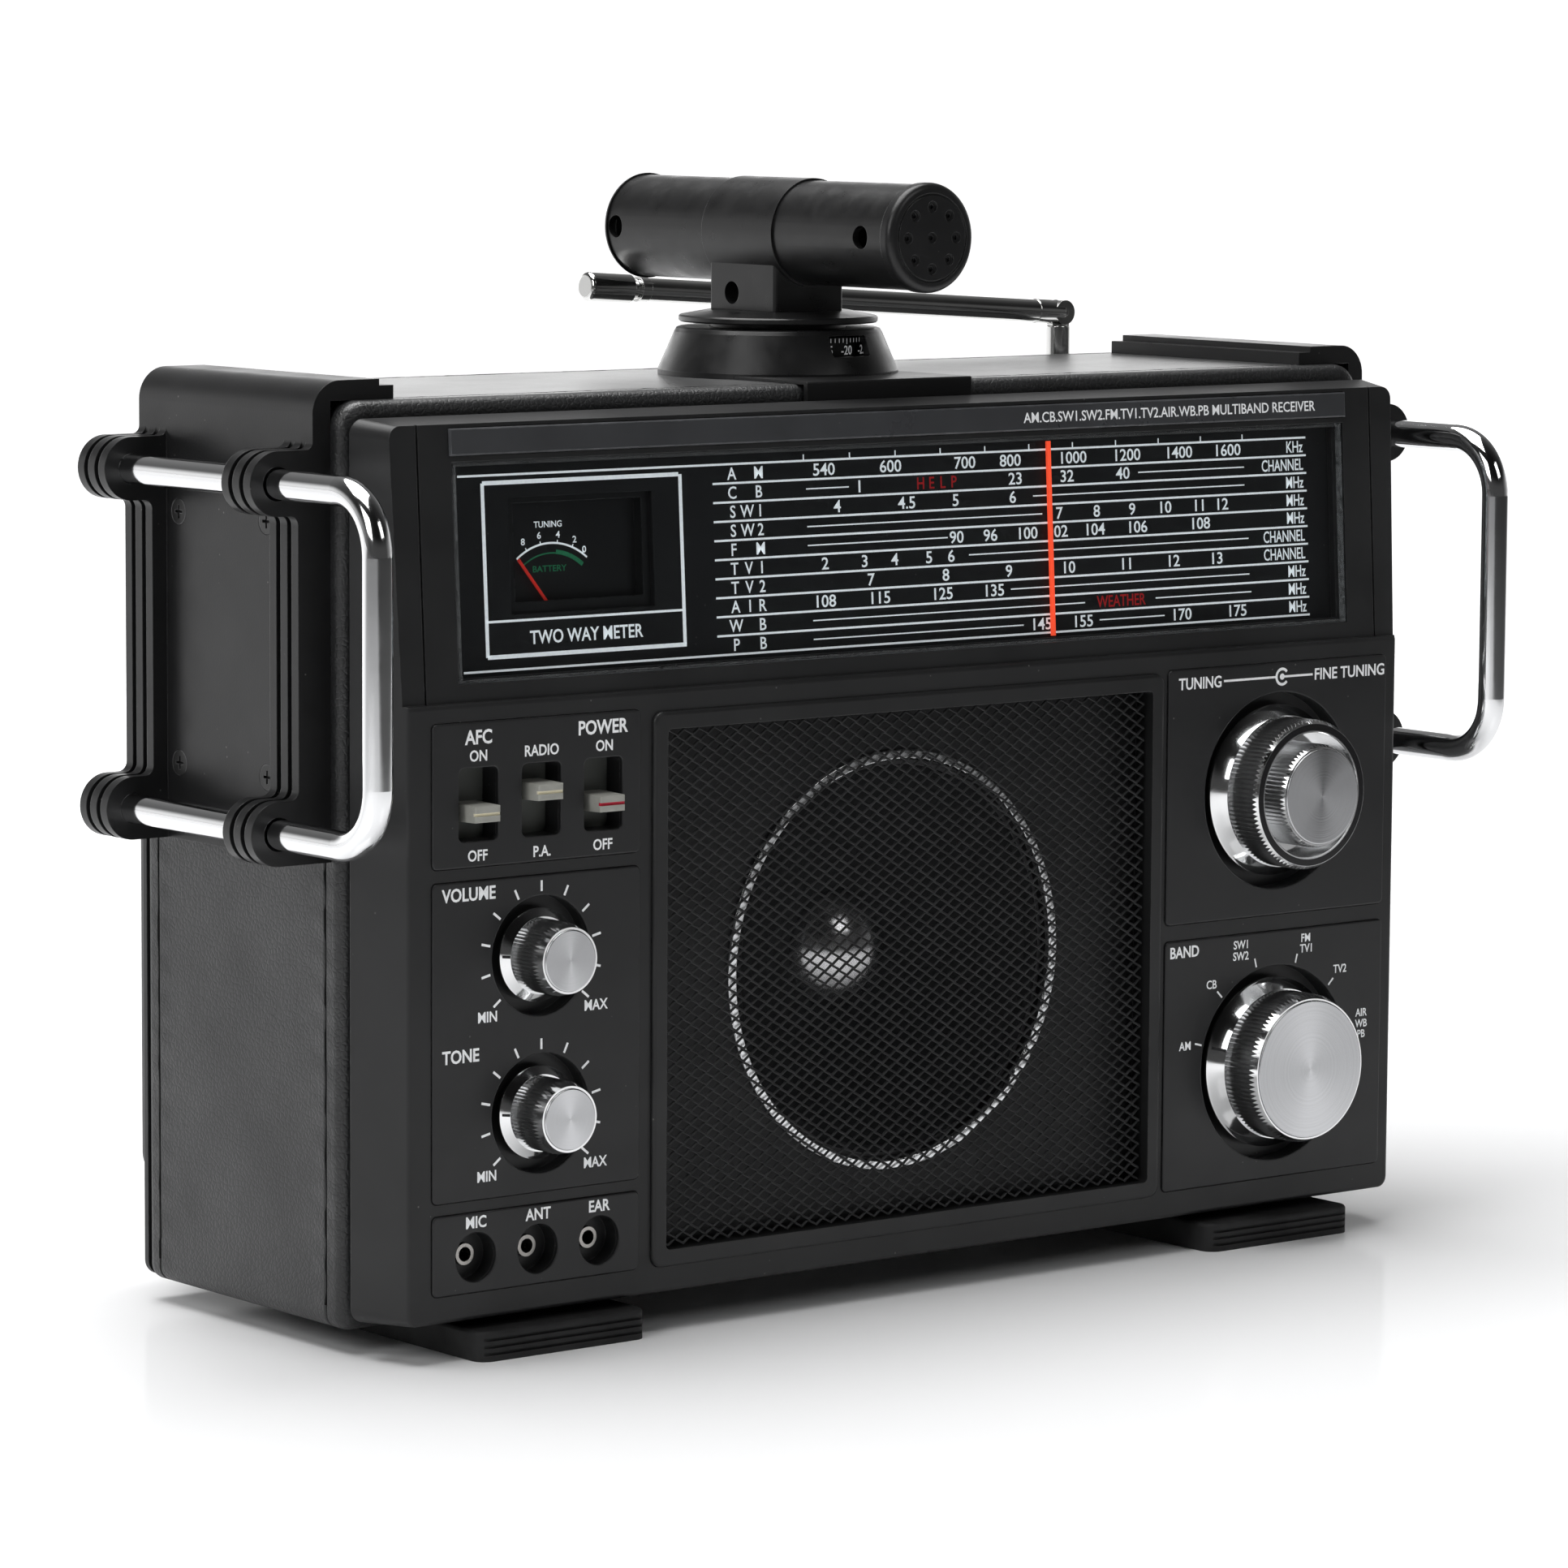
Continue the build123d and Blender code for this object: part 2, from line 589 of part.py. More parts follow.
with BuildPart() as speaker_basket:
    with BuildSketch(axial(SPEAKER_X, SPEAKER_Z)):
        with BuildLine():
            Polyline(
                (51.0, 10.0), (60.0, 10.0), (60.0, 11.5), (52.5, 11.5),
                (30.0, 46.0), (16.5, 46.0), (16.5, 44.5), (29.0, 44.5), (51.0, 11.0), close=True,
            )
        make_face()
    revolve(axis=depth_axis(SPEAKER_X, SPEAKER_Z))
    for i in range(6):
        a = math.radians(60 * i + 30)
        with BuildSketch(front(16)):
            with Locations((SPEAKER_X + 41 * math.cos(a), SPEAKER_Z + 41 * math.sin(a))):
                Circle(6.0)
        extrude(amount=-26, mode=Mode.SUBTRACT)
save(speaker_basket.part, "speaker_basket")

with BuildPart() as speaker_cone:
    with BuildSketch(axial(SPEAKER_X, SPEAKER_Z)):
        with BuildLine():
            Polyline(
                (50.9, 10.2), (49.0, 10.2), (47.6, 11.6), (46.0, 12.4), (14.2, 33.0),
                (14.2, 42.0), (15.2, 42.0), (15.2, 33.6), (46.4, 13.4), (48.2, 12.4), (50.9, 11.2), close=True,
            )
        make_face()
    revolve(axis=depth_axis(SPEAKER_X, SPEAKER_Z))
save(speaker_cone.part, "speaker_cone")

with BuildPart() as speaker_dust_cap:
    with BuildSketch(axial(SPEAKER_X, SPEAKER_Z)):
        with BuildLine():
            dome = ThreePointArc((0, 22.5), (9.24, 25.03), (15.9, 31.8))
            Line(dome @ 1, (0, 31.8))
            Line((0, 31.8), dome @ 0)
        make_face()
    revolve(axis=depth_axis(SPEAKER_X, SPEAKER_Z))
save(speaker_dust_cap.part, "speaker_dust_cap")

with BuildPart() as speaker_magnet:
    with BuildSketch(axial(SPEAKER_X, SPEAKER_Z)):
        with BuildLine():
            Polyline(
                (0, 60.0), (28.0, 60.0), (28.0, 58.0), (32.0, 58.0), (32.0, 49.0),
                (28.0, 49.0), (28.0, 46.0), (16.5, 46.0), (16.5, 56.0), (13.0, 56.0), (13.0, 36.0), (0, 36.0), close=True,
            )
        make_face()
    revolve(axis=depth_axis(SPEAKER_X, SPEAKER_Z))
save(speaker_magnet.part, "speaker_magnet")

# ---------------------------------------------------------------------------
# Parts behind the controls
# ---------------------------------------------------------------------------
with BuildPart() as potentiometers:
    for x, z in SMALL_WELLS:
        with BuildSketch(front(6.0)):
            with Locations((x, z)):
                Circle(8.5)
                Circle(3.05, mode=Mode.SUBTRACT)
        extrude(amount=-12)
        with BuildSketch(front(18.0)):
            with Locations((x, z)):
                Circle(8.5)
        extrude(amount=-2)
save(potentiometers.part, "potentiometers")

with BuildPart() as band_switch:
    with BuildSketch(front(7.0)):
        with Locations((LARGE_X, BAND_Z)):
            Circle(15.0)
            Circle(3.05, mode=Mode.SUBTRACT)
    extrude(amount=-16)
    with BuildSketch(front(23.0)):
        with Locations((LARGE_X, BAND_Z)):
            RectangleRounded(44, 44, 6)
    extrude(amount=-8)
save(band_switch.part, "band_switch")

with BuildPart() as tuning_capacitor:
    with BuildSketch(front(7.0)):
        with Locations((LARGE_X, TUNING_Z)):
            Circle(9.0)
    extrude(amount=-12)
    with BuildSketch(front(12.0)):
        with Locations((LARGE_X, TUNING_Z)):
            RectangleRounded(42, 42, 2)
    extrude(amount=-26)
    with BuildSketch(front(6.0)):
        with Locations((LARGE_X, TUNING_Z)):
            Circle(5.05)
    extrude(amount=-12, mode=Mode.SUBTRACT)
    with BuildSketch(front(6.0)):
        with Locations((LARGE_X, TUNING_Z)):
            Circle(3.05)
    extrude(amount=-26, mode=Mode.SUBTRACT)
save(tuning_capacitor.part, "tuning_capacitor")

with BuildPart() as slide_switches:
    for x in SLOT_X:
        with BuildSketch(front(7.6)):
            box_at(x - 7.5, x + 7.5, SLOT_Z - 17, SLOT_Z + 17)
        extrude(amount=-8)
        with BuildSketch(front(WALL)):
            box_at(x - 7.5, x + 7.5, SLOT_Z - 17, SLOT_Z - 15)
            box_at(x - 7.5, x + 7.5, SLOT_Z + 15, SLOT_Z + 17)
        extrude(amount=-(7.6 - WALL))
save(slide_switches.part, "slide_switches")

with BuildPart() as jack_sockets:
    for x in JACK_X:
        with BuildSketch(front(7.0)):
            with Locations((x, JACK_Z)):
                RectangleRounded(12, 12, 1.5)
        extrude(amount=-14)
        with BuildSketch(front(4.2)):
            with Locations((x, JACK_Z)):
                Circle(2.75)
        extrude(amount=-4)
        with BuildSketch(front(4.0)):
            with Locations((x, JACK_Z)):
                Circle(1.8)
        extrude(amount=-15.2, mode=Mode.SUBTRACT)
save(jack_sockets.part, "jack_sockets")

with BuildPart() as circuit_board:
    with BuildSketch(front(BOARD_DEPTH - 1.6)):
        box_at(-150, 150, 26, 224)
        box_at(-150, -112, 26, 60)
    extrude(amount=-1.6)
    with BuildSketch(front(BOARD_DEPTH - 21.6)):
        with Locations((-110, 150), (-70, 185), (60, 190), (105, 180)):
            RectangleRounded(16, 16, 2)
    extrude(amount=-20)
    with BuildSketch(front(BOARD_DEPTH - 16.6)):
        with Locations((-90, 150), (-125, 190), (-40, 195), (30, 200), (80, 150), (125, 150)):
            Circle(5)
    extrude(amount=-15)
save(circuit_board.part, "circuit_board")

# ---------------------------------------------------------------------------
# Slide switch caps on their shutters
# ---------------------------------------------------------------------------


def slider(label, x, z):
    """Cap with a thumb groove, joined to the shutter that closes the slot behind it."""
    with BuildPart() as cap:
        with BuildSketch(front(6.2)):
            box_at(x - 7.0, x + 7.0, z - 12.2, z + 12.2)
        extrude(amount=-1.2)
        with BuildSketch(front(6.4)):
            box_at(x - 3.8, x + 3.8, z - 2.3, z + 2.3)
        with BuildSketch(front(-4.6)):
            box_at(x - 3.8, x + 3.8, z - 2.0, z + 2.0)
        loft()
        fillet(cap.faces().sort_by(Axis.Y)[0].outer_wire().edges(), 0.4)
        with BuildSketch(front(-5.0)):
            box_at(x - 5, x + 5, z - 0.35, z + 0.35)
        extrude(amount=-0.8, mode=Mode.SUBTRACT)
    save(cap.part, label)


SLIDE_LOW = SLOT_Z - SLIDE_TRAVEL / 2
SLIDE_HIGH = SLOT_Z + SLIDE_TRAVEL / 2
slider("afc_slider", SLOT_X[0], SLIDE_LOW)
slider("mode_slider", SLOT_X[1], SLIDE_HIGH)
slider("power_slider", SLOT_X[2], SLIDE_LOW)

# ---------------------------------------------------------------------------
# Knobs
# ---------------------------------------------------------------------------


def small_knob(label, x, z):
    with BuildPart() as knob:
        with BuildSketch(axial(x, z)):
            with BuildLine():
                Polyline(
                    (0, 17.0), (3.0, 17.0), (3.0, 1.7), (11.75, 1.7), (11.75, 0.7), (11.3, 0.4),
                    (9.7, -1.0), (0, -1.0), close=True,
                )
            make_face()
        revolve(axis=depth_axis(x, z))
        with BuildSketch(front(-0.9)):
            with Locations((x, z)):
                Polygon(*knurl_points(60, 9.2, 8.8), align=None)
        extrude(amount=8.6)
        with BuildSketch(axial(x, z)):
            with BuildLine():
                Polyline((0, -9.4), (9.0, -9.4), (9.0, -9.9), (8.3, -12.5), (7.75, -12.5), (7.75, -12.0), (0, -12.0), close=True)
            make_face()
        revolve(axis=depth_axis(x, z))
    save(knob.part, label)
    with BuildPart() as face:
        with BuildSketch(front(-12.9)):
            with Locations((x, z)):
                Circle(7.7)
        extrude(amount=-0.9)
        fillet(face.faces().sort_by(Axis.Y)[0].edges(), 0.3)
    save(face.part, label + "_face")


small_knob("volume_knob", SMALL_X, VOLUME_Z)
small_knob("tone_knob", SMALL_X, TONE_Z)

with BuildPart() as tuning_knob:
    with BuildSketch(axial(LARGE_X, TUNING_Z)):
        with BuildLine():
            Polyline(
                (3.1, 17.0), (5.0, 17.0), (5.0, 2.2), (23.3, 2.2), (23.3, 1.2), (22.8, 0.8),
                (20.6, -2.7), (3.1, -2.7), close=True,
            )
        make_face()
    revolve(axis=depth_axis(LARGE_X, TUNING_Z))
    with BuildSketch(front(-2.6)):
        with Locations((LARGE_X, TUNING_Z)):
            Polygon(*knurl_points(120, 20.3, 19.85), align=None)
    extrude(amount=10.4)
    with BuildSketch(axial(LARGE_X, TUNING_Z)):
        with BuildLine():
            Polyline((0, -12.9), (20.0, -12.9), (20.0, -13.2), (19.3, -13.6), (0, -13.6), close=True)
        make_face()
    revolve(axis=depth_axis(LARGE_X, TUNING_Z))
    with BuildSketch(front(-15)):
        with Locations((LARGE_X, TUNING_Z)):
            Circle(16.9)
    extrude(amount=-7.8, mode=Mode.SUBTRACT)
    with BuildSketch(front(-15)):
        with Locations((LARGE_X, TUNING_Z)):
            Circle(3.1)
    extrude(amount=-34, mode=Mode.SUBTRACT)
save(tuning_knob.part, "tuning_knob")

with BuildPart() as fine_tuning_knob:
    with BuildSketch(front(-7.5)):
        with Locations((LARGE_X, TUNING_Z)):
            Polygon(*knurl_points(90, 14.0, 13.6), align=None)
    extrude(amount=9.6)
    with BuildSketch(axial(LARGE_X, TUNING_Z)):
        with BuildLine():
            Polyline(
                (0, 30.0), (3.02, 30.0), (3.02, -7.4), (13.6, -7.4), (13.6, -17.0),
                (13.4, -17.6), (12.95, -17.6), (12.95, -17.1), (0, -17.1), close=True,
            )
        make_face()
    revolve(axis=depth_axis(LARGE_X, TUNING_Z))
save(fine_tuning_knob.part, "fine_tuning_knob")

with BuildPart() as fine_tuning_face:
    with BuildSketch(front(-18.0)):
        with Locations((LARGE_X, TUNING_Z)):
            Circle(12.9)
    extrude(amount=-0.9)
    fillet(fine_tuning_face.faces().sort_by(Axis.Y)[0].edges(), 0.3)
save(fine_tuning_face.part, "fine_tuning_face")

with BuildPart() as band_knob:
    with BuildSketch(axial(LARGE_X, BAND_Z)):
        with BuildLine():
            Polyline(
                (0, 21.0), (3.0, 21.0), (3.0, 2.2), (23.3, 2.2), (23.3, 1.2), (22.8, 0.8),
                (20.5, -3.0), (0, -3.0), close=True,
            )
        make_face()
    revolve(axis=depth_axis(LARGE_X, BAND_Z))
    with BuildSketch(front(-2.9)):
        with Locations((LARGE_X, BAND_Z)):
            Polygon(*knurl_points(120, 20.2, 19.75), align=None)
    extrude(amount=10.1)
    with BuildSketch(axial(LARGE_X, BAND_Z)):
        with BuildLine():
            Polyline((0, -12.9), (19.9, -12.9), (19.9, -13.4), (19.2, -14.6), (18.75, -14.6), (18.75, -14.1), (0, -14.1), close=True)
        make_face()
    revolve(axis=depth_axis(LARGE_X, BAND_Z))
save(band_knob.part, "band_knob")

with BuildPart() as band_knob_face:
    with BuildSketch(front(-15.0)):
        with Locations((LARGE_X, BAND_Z)):
            Circle(18.7)
    extrude(amount=-0.9)
    fillet(band_knob_face.faces().sort_by(Axis.Y)[0].edges(), 0.3)
save(band_knob_face.part, "band_knob_face")

# ---------------------------------------------------------------------------
# Side brackets, chrome bars and screws
# ---------------------------------------------------------------------------


def boss_outline(side, boss, rib):
    """Two bar bosses, the plate behind them and the rib between them, seen from the front."""
    box_at(*sorted((side * BRACKET_IN, side * BRACKET_OUT)), BAR_LOW - boss, BAR_HIGH + 11.0)
    box_at(*sorted((side * BRACKET_IN, side * rib)), BAR_LOW, BAR_HIGH)
    for z in (BAR_LOW, BAR_HIGH):
        box_at(*sorted((side * BRACKET_IN, side * BAR_X)), z - boss, z + boss)
        with Locations((side * BAR_X, z)):
            Circle(boss)


def bracket(label, side):
    """Angle bracket over the cabinet edge, with two groups of three ribbed discs."""
    with BuildPart() as arm:
        with BuildSketch(front(BRACKET_FRONT)) as profile:
            box_at(*sorted((side * BRACKET_IN, side * BRACKET_OUT)), BRACKET_LOW, BRACKET_HIGH)
            box_at(*sorted((side * 155.5, side * BRACKET_OUT)), CASE_TOP, BRACKET_HIGH)
            box_at(*sorted((side * 151.3, side * 156.0)), CASE_TOP, 239.9)
            corner = profile.vertices().group_by(Axis.Y)[-1].sort_by(Axis.X)
            fillet(corner[-1 if side > 0 else 0], 8.0)
        extrude(amount=-(BRACKET_REAR - BRACKET_FRONT))
        for start in DISC_STARTS:
            with BuildSketch(front(start)) as disc:
                boss_outline(side, BOSS_R, RIB_OUT)
                waist = [v for v in disc.vertices() if abs(abs(v.X) - RIB_OUT) < 0.01]
                fillet(waist, 2.5)
                step = disc.vertices().group_by(Axis.Y)[-2].sort_by(Axis.X)
                fillet(step[0 if side > 0 else -1], 2.0)
            extrude(amount=-DISC_THICK)
        for start, end in ((DISC_STARTS[0], DISC_STARTS[2]), (DISC_STARTS[3], DISC_STARTS[5])):
            with BuildSketch(front(start + 1.0)):
                boss_outline(side, 6.0, 177.5)
            extrude(amount=-(end - start))
        for z in (BAR_LOW, BAR_HIGH):
            with BuildSketch(front(BRACKET_FRONT - 1)):
                with Locations((side * BAR_X, z)):
                    Circle(4.2)
            extrude(amount=-17, mode=Mode.SUBTRACT)
            with BuildSketch(front(BRACKET_FRONT - 1)):
                with Locations((side * BAR_X, z)):
                    Circle(BAR_R + 0.05)
            extrude(amount=-(BAR_END - BRACKET_FRONT + 1), mode=Mode.SUBTRACT)
        for d in SCREW_DEPTHS:
            for z in SCREW_HEIGHTS:
                centre = Plane(origin=(0, PANEL_Y + d, z))
                with BuildSketch(centre):
                    with BuildLine():
                        Polyline(
                            (side * (BRACKET_IN - 1), 0), (side * (BRACKET_IN - 1), 1.55),
                            (side * (BRACKET_OUT - 1.8), 1.55), (side * BRACKET_OUT, 3.35),
                            (side * (BRACKET_OUT + 2), 3.35), (side * (BRACKET_OUT + 2), 0), close=True,
                        )
                    make_face()
                revolve(axis=Axis((0, PANEL_Y + d, z), (1, 0, 0)), mode=Mode.SUBTRACT)
    save(arm.part, label)


bracket("bracket_left", -1)
bracket("bracket_right", 1)


def bar(label, side):
    x = side * BAR_X
    with BuildPart() as handle:
        with BuildLine() as path:
            FilletPolyline(
                (x, PANEL_Y + BAR_END, BAR_HIGH),
                (x, PANEL_Y + BAR_FRONT, BAR_HIGH),
                (x, PANEL_Y + BAR_FRONT, BAR_LOW),
                (x, PANEL_Y + BAR_END, BAR_LOW),
                radius=BAR_BEND,
            )
        with BuildSketch(Plane(origin=path.line @ 0, z_dir=path.line % 0)):
            Circle(BAR_R)
        sweep()
    save(handle.part, label)


bar("bar_left", -1)
bar("bar_right", 1)

SCREW_PROFILE = ((0, 0.0), (3.25, 0.0), (1.5, 1.75), (1.5, 11.0), (0, 11.0))


with BuildPart() as case_screws:
    for side in (-1, 1):
        for d in SCREW_DEPTHS:
            for z in SCREW_HEIGHTS:
                with BuildSketch(Plane(origin=(side * (BRACKET_OUT - 0.05), PANEL_Y + d, z))):
                    with BuildLine():
                        Polyline(*[(-side * t, r) for r, t in SCREW_PROFILE], close=True)
                    make_face()
                revolve(axis=Axis((0, PANEL_Y + d, z), (1, 0, 0)))
                with BuildSketch(Plane(origin=(side * BRACKET_OUT, PANEL_Y + d, z), z_dir=(side, 0, 0))):
                    Rectangle(3.4, 0.75)
                    Rectangle(0.75, 3.4)
                extrude(amount=-1.1, mode=Mode.SUBTRACT)
    for x, z in COVER_SCREWS:
        with BuildSketch(axial(x, z)):
            with BuildLine():
                Polyline(*[(r, COVER_RIM - 0.05 - t) for r, t in SCREW_PROFILE], close=True)
            make_face()
        revolve(axis=depth_axis(x, z))
        with BuildSketch(Plane(origin=(x, PANEL_Y + COVER_RIM, z), z_dir=(0, 1, 0))):
            Rectangle(3.4, 0.75)
            Rectangle(0.75, 3.4)
        extrude(amount=-1.1, mode=Mode.SUBTRACT)
save(case_screws.part, "case_screws")

# ---------------------------------------------------------------------------
# Feet
# ---------------------------------------------------------------------------


def foot(label, side):
    x0, x1 = sorted((side * 95.0, side * 147.0))
    with BuildPart() as pad:
        with BuildSketch(Plane.XY):
            with Locations(((x0 + x1) / 2, PANEL_Y + 38.5)):
                RectangleRounded(x1 - x0, 87, 4)
        extrude(amount=CASE_BOTTOM)
        with BuildSketch(Plane.XY):
            with Locations(((x0 + x1) / 2, PANEL_Y + 7.6)):
                RectangleRounded(x1 - x0, 25.2, 4)
        extrude(amount=7.6)
        fillet(pad.faces().sort_by(Axis.Z)[-1].outer_wire().edges(), 1.0)
        for z in (1.9, 3.7, 5.5):
            with BuildSketch(front(-6)):
                box_at(x0 - 1, x1 + 1, z - 0.35, z + 0.35)
            extrude(amount=-1.8, mode=Mode.SUBTRACT)
    save(pad.part, label)


foot("foot_left", -1)
foot("foot_right", 1)

# ---------------------------------------------------------------------------
# Direction-finder antenna
# ---------------------------------------------------------------------------
DF_Y = PANEL_Y + DF_DEPTH


def df_axis():
    return Axis((DF_X, DF_Y, 0), (0, 0, 1))


def df_plane():
    """Plane through the antenna's vertical axis: local x = radius, local y = height."""
    return Plane(origin=(DF_X, DF_Y, 0), x_dir=(1, 0, 0), z_dir=(0, -1, 0))


with BuildPart() as antenna_plate:
    with BuildSketch(Plane.XY.offset(CASE_TOP)):
        with Locations((1.0, PANEL_Y + 35.0)):
            Rectangle(55.0, 31.0)
        with Locations((DF_X, DF_Y)):
            Circle(32.0, mode=Mode.SUBTRACT)
    extrude(amount=0.8)
    with BuildSketch(Plane.XY.offset(CASE_TOP - 4.2)):
        with Locations((1.0, PANEL_Y + 20.2)):
            Rectangle(55.0, 1.4)
    extrude(amount=5.0)
    lip = antenna_plate.edges().filter_by(Axis.X).group_by(Axis.Z)[-1].sort_by(Axis.Y)[0]
    fillet(lip, 0.6)
save(antenna_plate.part, "antenna_plate")

with BuildPart() as antenna_cone:
    with BuildSketch(df_plane()):
        with BuildLine():
            Polyline(
                (29.4, CASE_TOP), (31.9, CASE_TOP), (31.9, CASE_TOP + 1.4), (27.6, 247.8), (27.0, 248.8),
                (26.2, 249.1), (18.4, 249.1), (18.4, 247.7), (25.5, 247.7), close=True,
            )
        make_face()
    revolve(axis=df_axis())
    with BuildSketch(front(DF_DEPTH - 34)):
        with Locations((DF_X + 1.6, 244.9)):
            RectangleRounded(13.0, 5.4, 0.8)
    extrude(amount=-14, mode=Mode.SUBTRACT)
save(antenna_cone.part, "antenna_cone")

with BuildPart() as antenna_turntable:
    with BuildSketch(df_plane()):
        with BuildLine():
            Polyline(
                (0, 238.5), (24.5, 238.5), (24.5, DRUM_TOP), (18.0, DRUM_TOP), (18.0, FLANGE_LOW), (26.0, FLANGE_LOW),
                (26.4, FLANGE_LOW + 0.4), (26.4, FLANGE_LOW + 1.4), (26.0, FLANGE_LOW + 1.8), (19.0, FLANGE_TOP),
                (0, FLANGE_TOP), close=True,
            )
        make_face()
    revolve(axis=df_axis())
save(antenna_turntable.part, "antenna_turntable")

with BuildPart() as antenna_holder:
    with BuildSketch(Plane.XY.offset(FLANGE_TOP)):
        with Locations((DF_X, PANEL_Y + 67.45)):
            RectangleRounded(23.0, 28.1, 1.0)
    extrude(amount=TUBE_Z - FLANGE_TOP)
    with BuildSketch(front(51.8)):
        with Locations((DF_X, TUBE_Z)):
            Circle(SLEEVE_R)
    extrude(amount=-29.8)
    with BuildSketch(front(50.0)):
        with Locations((DF_X, TUBE_Z)):
            Circle(TUBE_R)
    extrude(amount=-34, mode=Mode.SUBTRACT)
    with BuildSketch(Plane.YZ.offset(DF_X - 12.5)):
        with Locations((PANEL_Y + 71.9, 258.0)):
            Circle(3.0)
    extrude(amount=6, mode=Mode.SUBTRACT)
save(antenna_holder.part, "antenna_holder")

with BuildPart() as antenna_tube:
    with BuildSketch(front(TUBE_FRONT + 4.0)):
        with Locations((DF_X, TUBE_Z)):
            Circle(TUBE_R)
            Circle(TUBE_R - 2.0, mode=Mode.SUBTRACT)
    extrude(amount=-(TUBE_REAR - REAR_CAP - TUBE_FRONT - 4.0))
    for d in (15.6, 120.4):
        with BuildSketch(Plane.YZ.offset(DF_X - TUBE_R - 1)):
            with Locations((PANEL_Y + d, TUBE_Z)):
                Circle(3.0)
        extrude(amount=6, mode=Mode.SUBTRACT)
save(antenna_tube.part, "antenna_tube")

with BuildPart() as antenna_end_caps:
    with BuildSketch(front(TUBE_FRONT)):
        with Locations((DF_X, TUBE_Z)):
            Circle(CAP_R)
    extrude(amount=-4.0)
    fillet(antenna_end_caps.faces().sort_by(Axis.Y)[0].edges(), 2.0)
    with BuildSketch(front(TUBE_FRONT + 4.0)):
        with Locations((DF_X, TUBE_Z)):
            Circle(TUBE_R - 2.05)
    extrude(amount=-4.0)
    with BuildSketch(front(TUBE_FRONT - 1)):
        with Locations((DF_X, TUBE_Z)):
            Circle(1.45)
            with PolarLocations(8.0, 8):
                Circle(1.45)
    extrude(amount=-1.6, mode=Mode.SUBTRACT)
    with BuildSketch(front(TUBE_FRONT - 1)):
        with Locations((DF_X, TUBE_Z)):
            Circle(0.7)
            with PolarLocations(8.0, 8):
                Circle(0.7)
    extrude(amount=-2.4, mode=Mode.SUBTRACT)
    with BuildSketch(front(TUBE_FRONT - 1)):
        with Locations((DF_X, TUBE_Z)):
            Circle(11.5)
            Circle(11.0, mode=Mode.SUBTRACT)
    extrude(amount=-1.3, mode=Mode.SUBTRACT)
    with BuildSketch(front(TUBE_REAR - REAR_CAP)):
        with Locations((DF_X, TUBE_Z)):
            Circle(CAP_R)
    extrude(amount=-REAR_CAP)
    fillet(antenna_end_caps.faces().sort_by(Axis.Y)[-1].edges(), 1.2)
    with BuildSketch(front(TUBE_REAR - REAR_CAP)):
        with Locations((DF_X, TUBE_Z)):
            Circle(TUBE_R - 2.05)
    extrude(amount=1.0)
save(antenna_end_caps.part, "antenna_end_caps")

with BuildPart() as ferrite_rod:
    with BuildSketch(front(18.0)):
        with Locations((DF_X, TUBE_Z)):
            Circle(5.0)
    extrude(amount=-94)
    with BuildSketch(front(22.0)):
        with Locations((DF_X, TUBE_Z)):
            Circle(TUBE_R - 2.0)
    extrude(amount=-3)
    with BuildSketch(front(105.0)):
        with Locations((DF_X, TUBE_Z)):
            Circle(TUBE_R - 2.0)
    extrude(amount=-3)
    with BuildSketch(front(48.0)):
        with Locations((DF_X, TUBE_Z)):
            Circle(6.5)
    extrude(amount=-34)
save(ferrite_rod.part, "ferrite_rod")

# ---------------------------------------------------------------------------
# Telescopic whip on its swivel post
# ---------------------------------------------------------------------------
WHIP_Y = PANEL_Y + WHIP_DEPTH
RISE = math.radians(WHIP_RISE)
WHIP_DIR = Vector(-math.cos(RISE), 0, math.sin(RISE))


def whip_plane(distance):
    """Plane across the whip at a distance from its elbow."""
    origin = Vector(WHIP_X, WHIP_Y, ELBOW_Z) + WHIP_DIR * distance
    return Plane(origin=origin, x_dir=(0, 1, 0), z_dir=WHIP_DIR)


with BuildPart() as whip_post:
    with BuildSketch(Plane.XY.offset(206.2)):
        with Locations((WHIP_X, WHIP_Y)):
            Circle(3.5)
    extrude(amount=243.4 - 206.2)
    fillet(whip_post.faces().sort_by(Axis.Z)[-1].edges(), 0.5)
    with BuildSketch(Plane(origin=(WHIP_X, WHIP_Y - 1.2, 0), x_dir=(1, 0, 0), z_dir=(0, -1, 0))):
        with Locations((0, ELBOW_Z)):
            Circle(3.1)
        box_at(-3.1, 3.1, 243.0, ELBOW_Z)
    extrude(amount=-2.4)
    with BuildSketch(Plane(origin=(WHIP_X, WHIP_Y - 2.0, 0), x_dir=(1, 0, 0), z_dir=(0, -1, 0))):
        with Locations((0, ELBOW_Z)):
            Circle(1.1)
    extrude(amount=-4.0, mode=Mode.SUBTRACT)
save(whip_post.part, "whip_post")

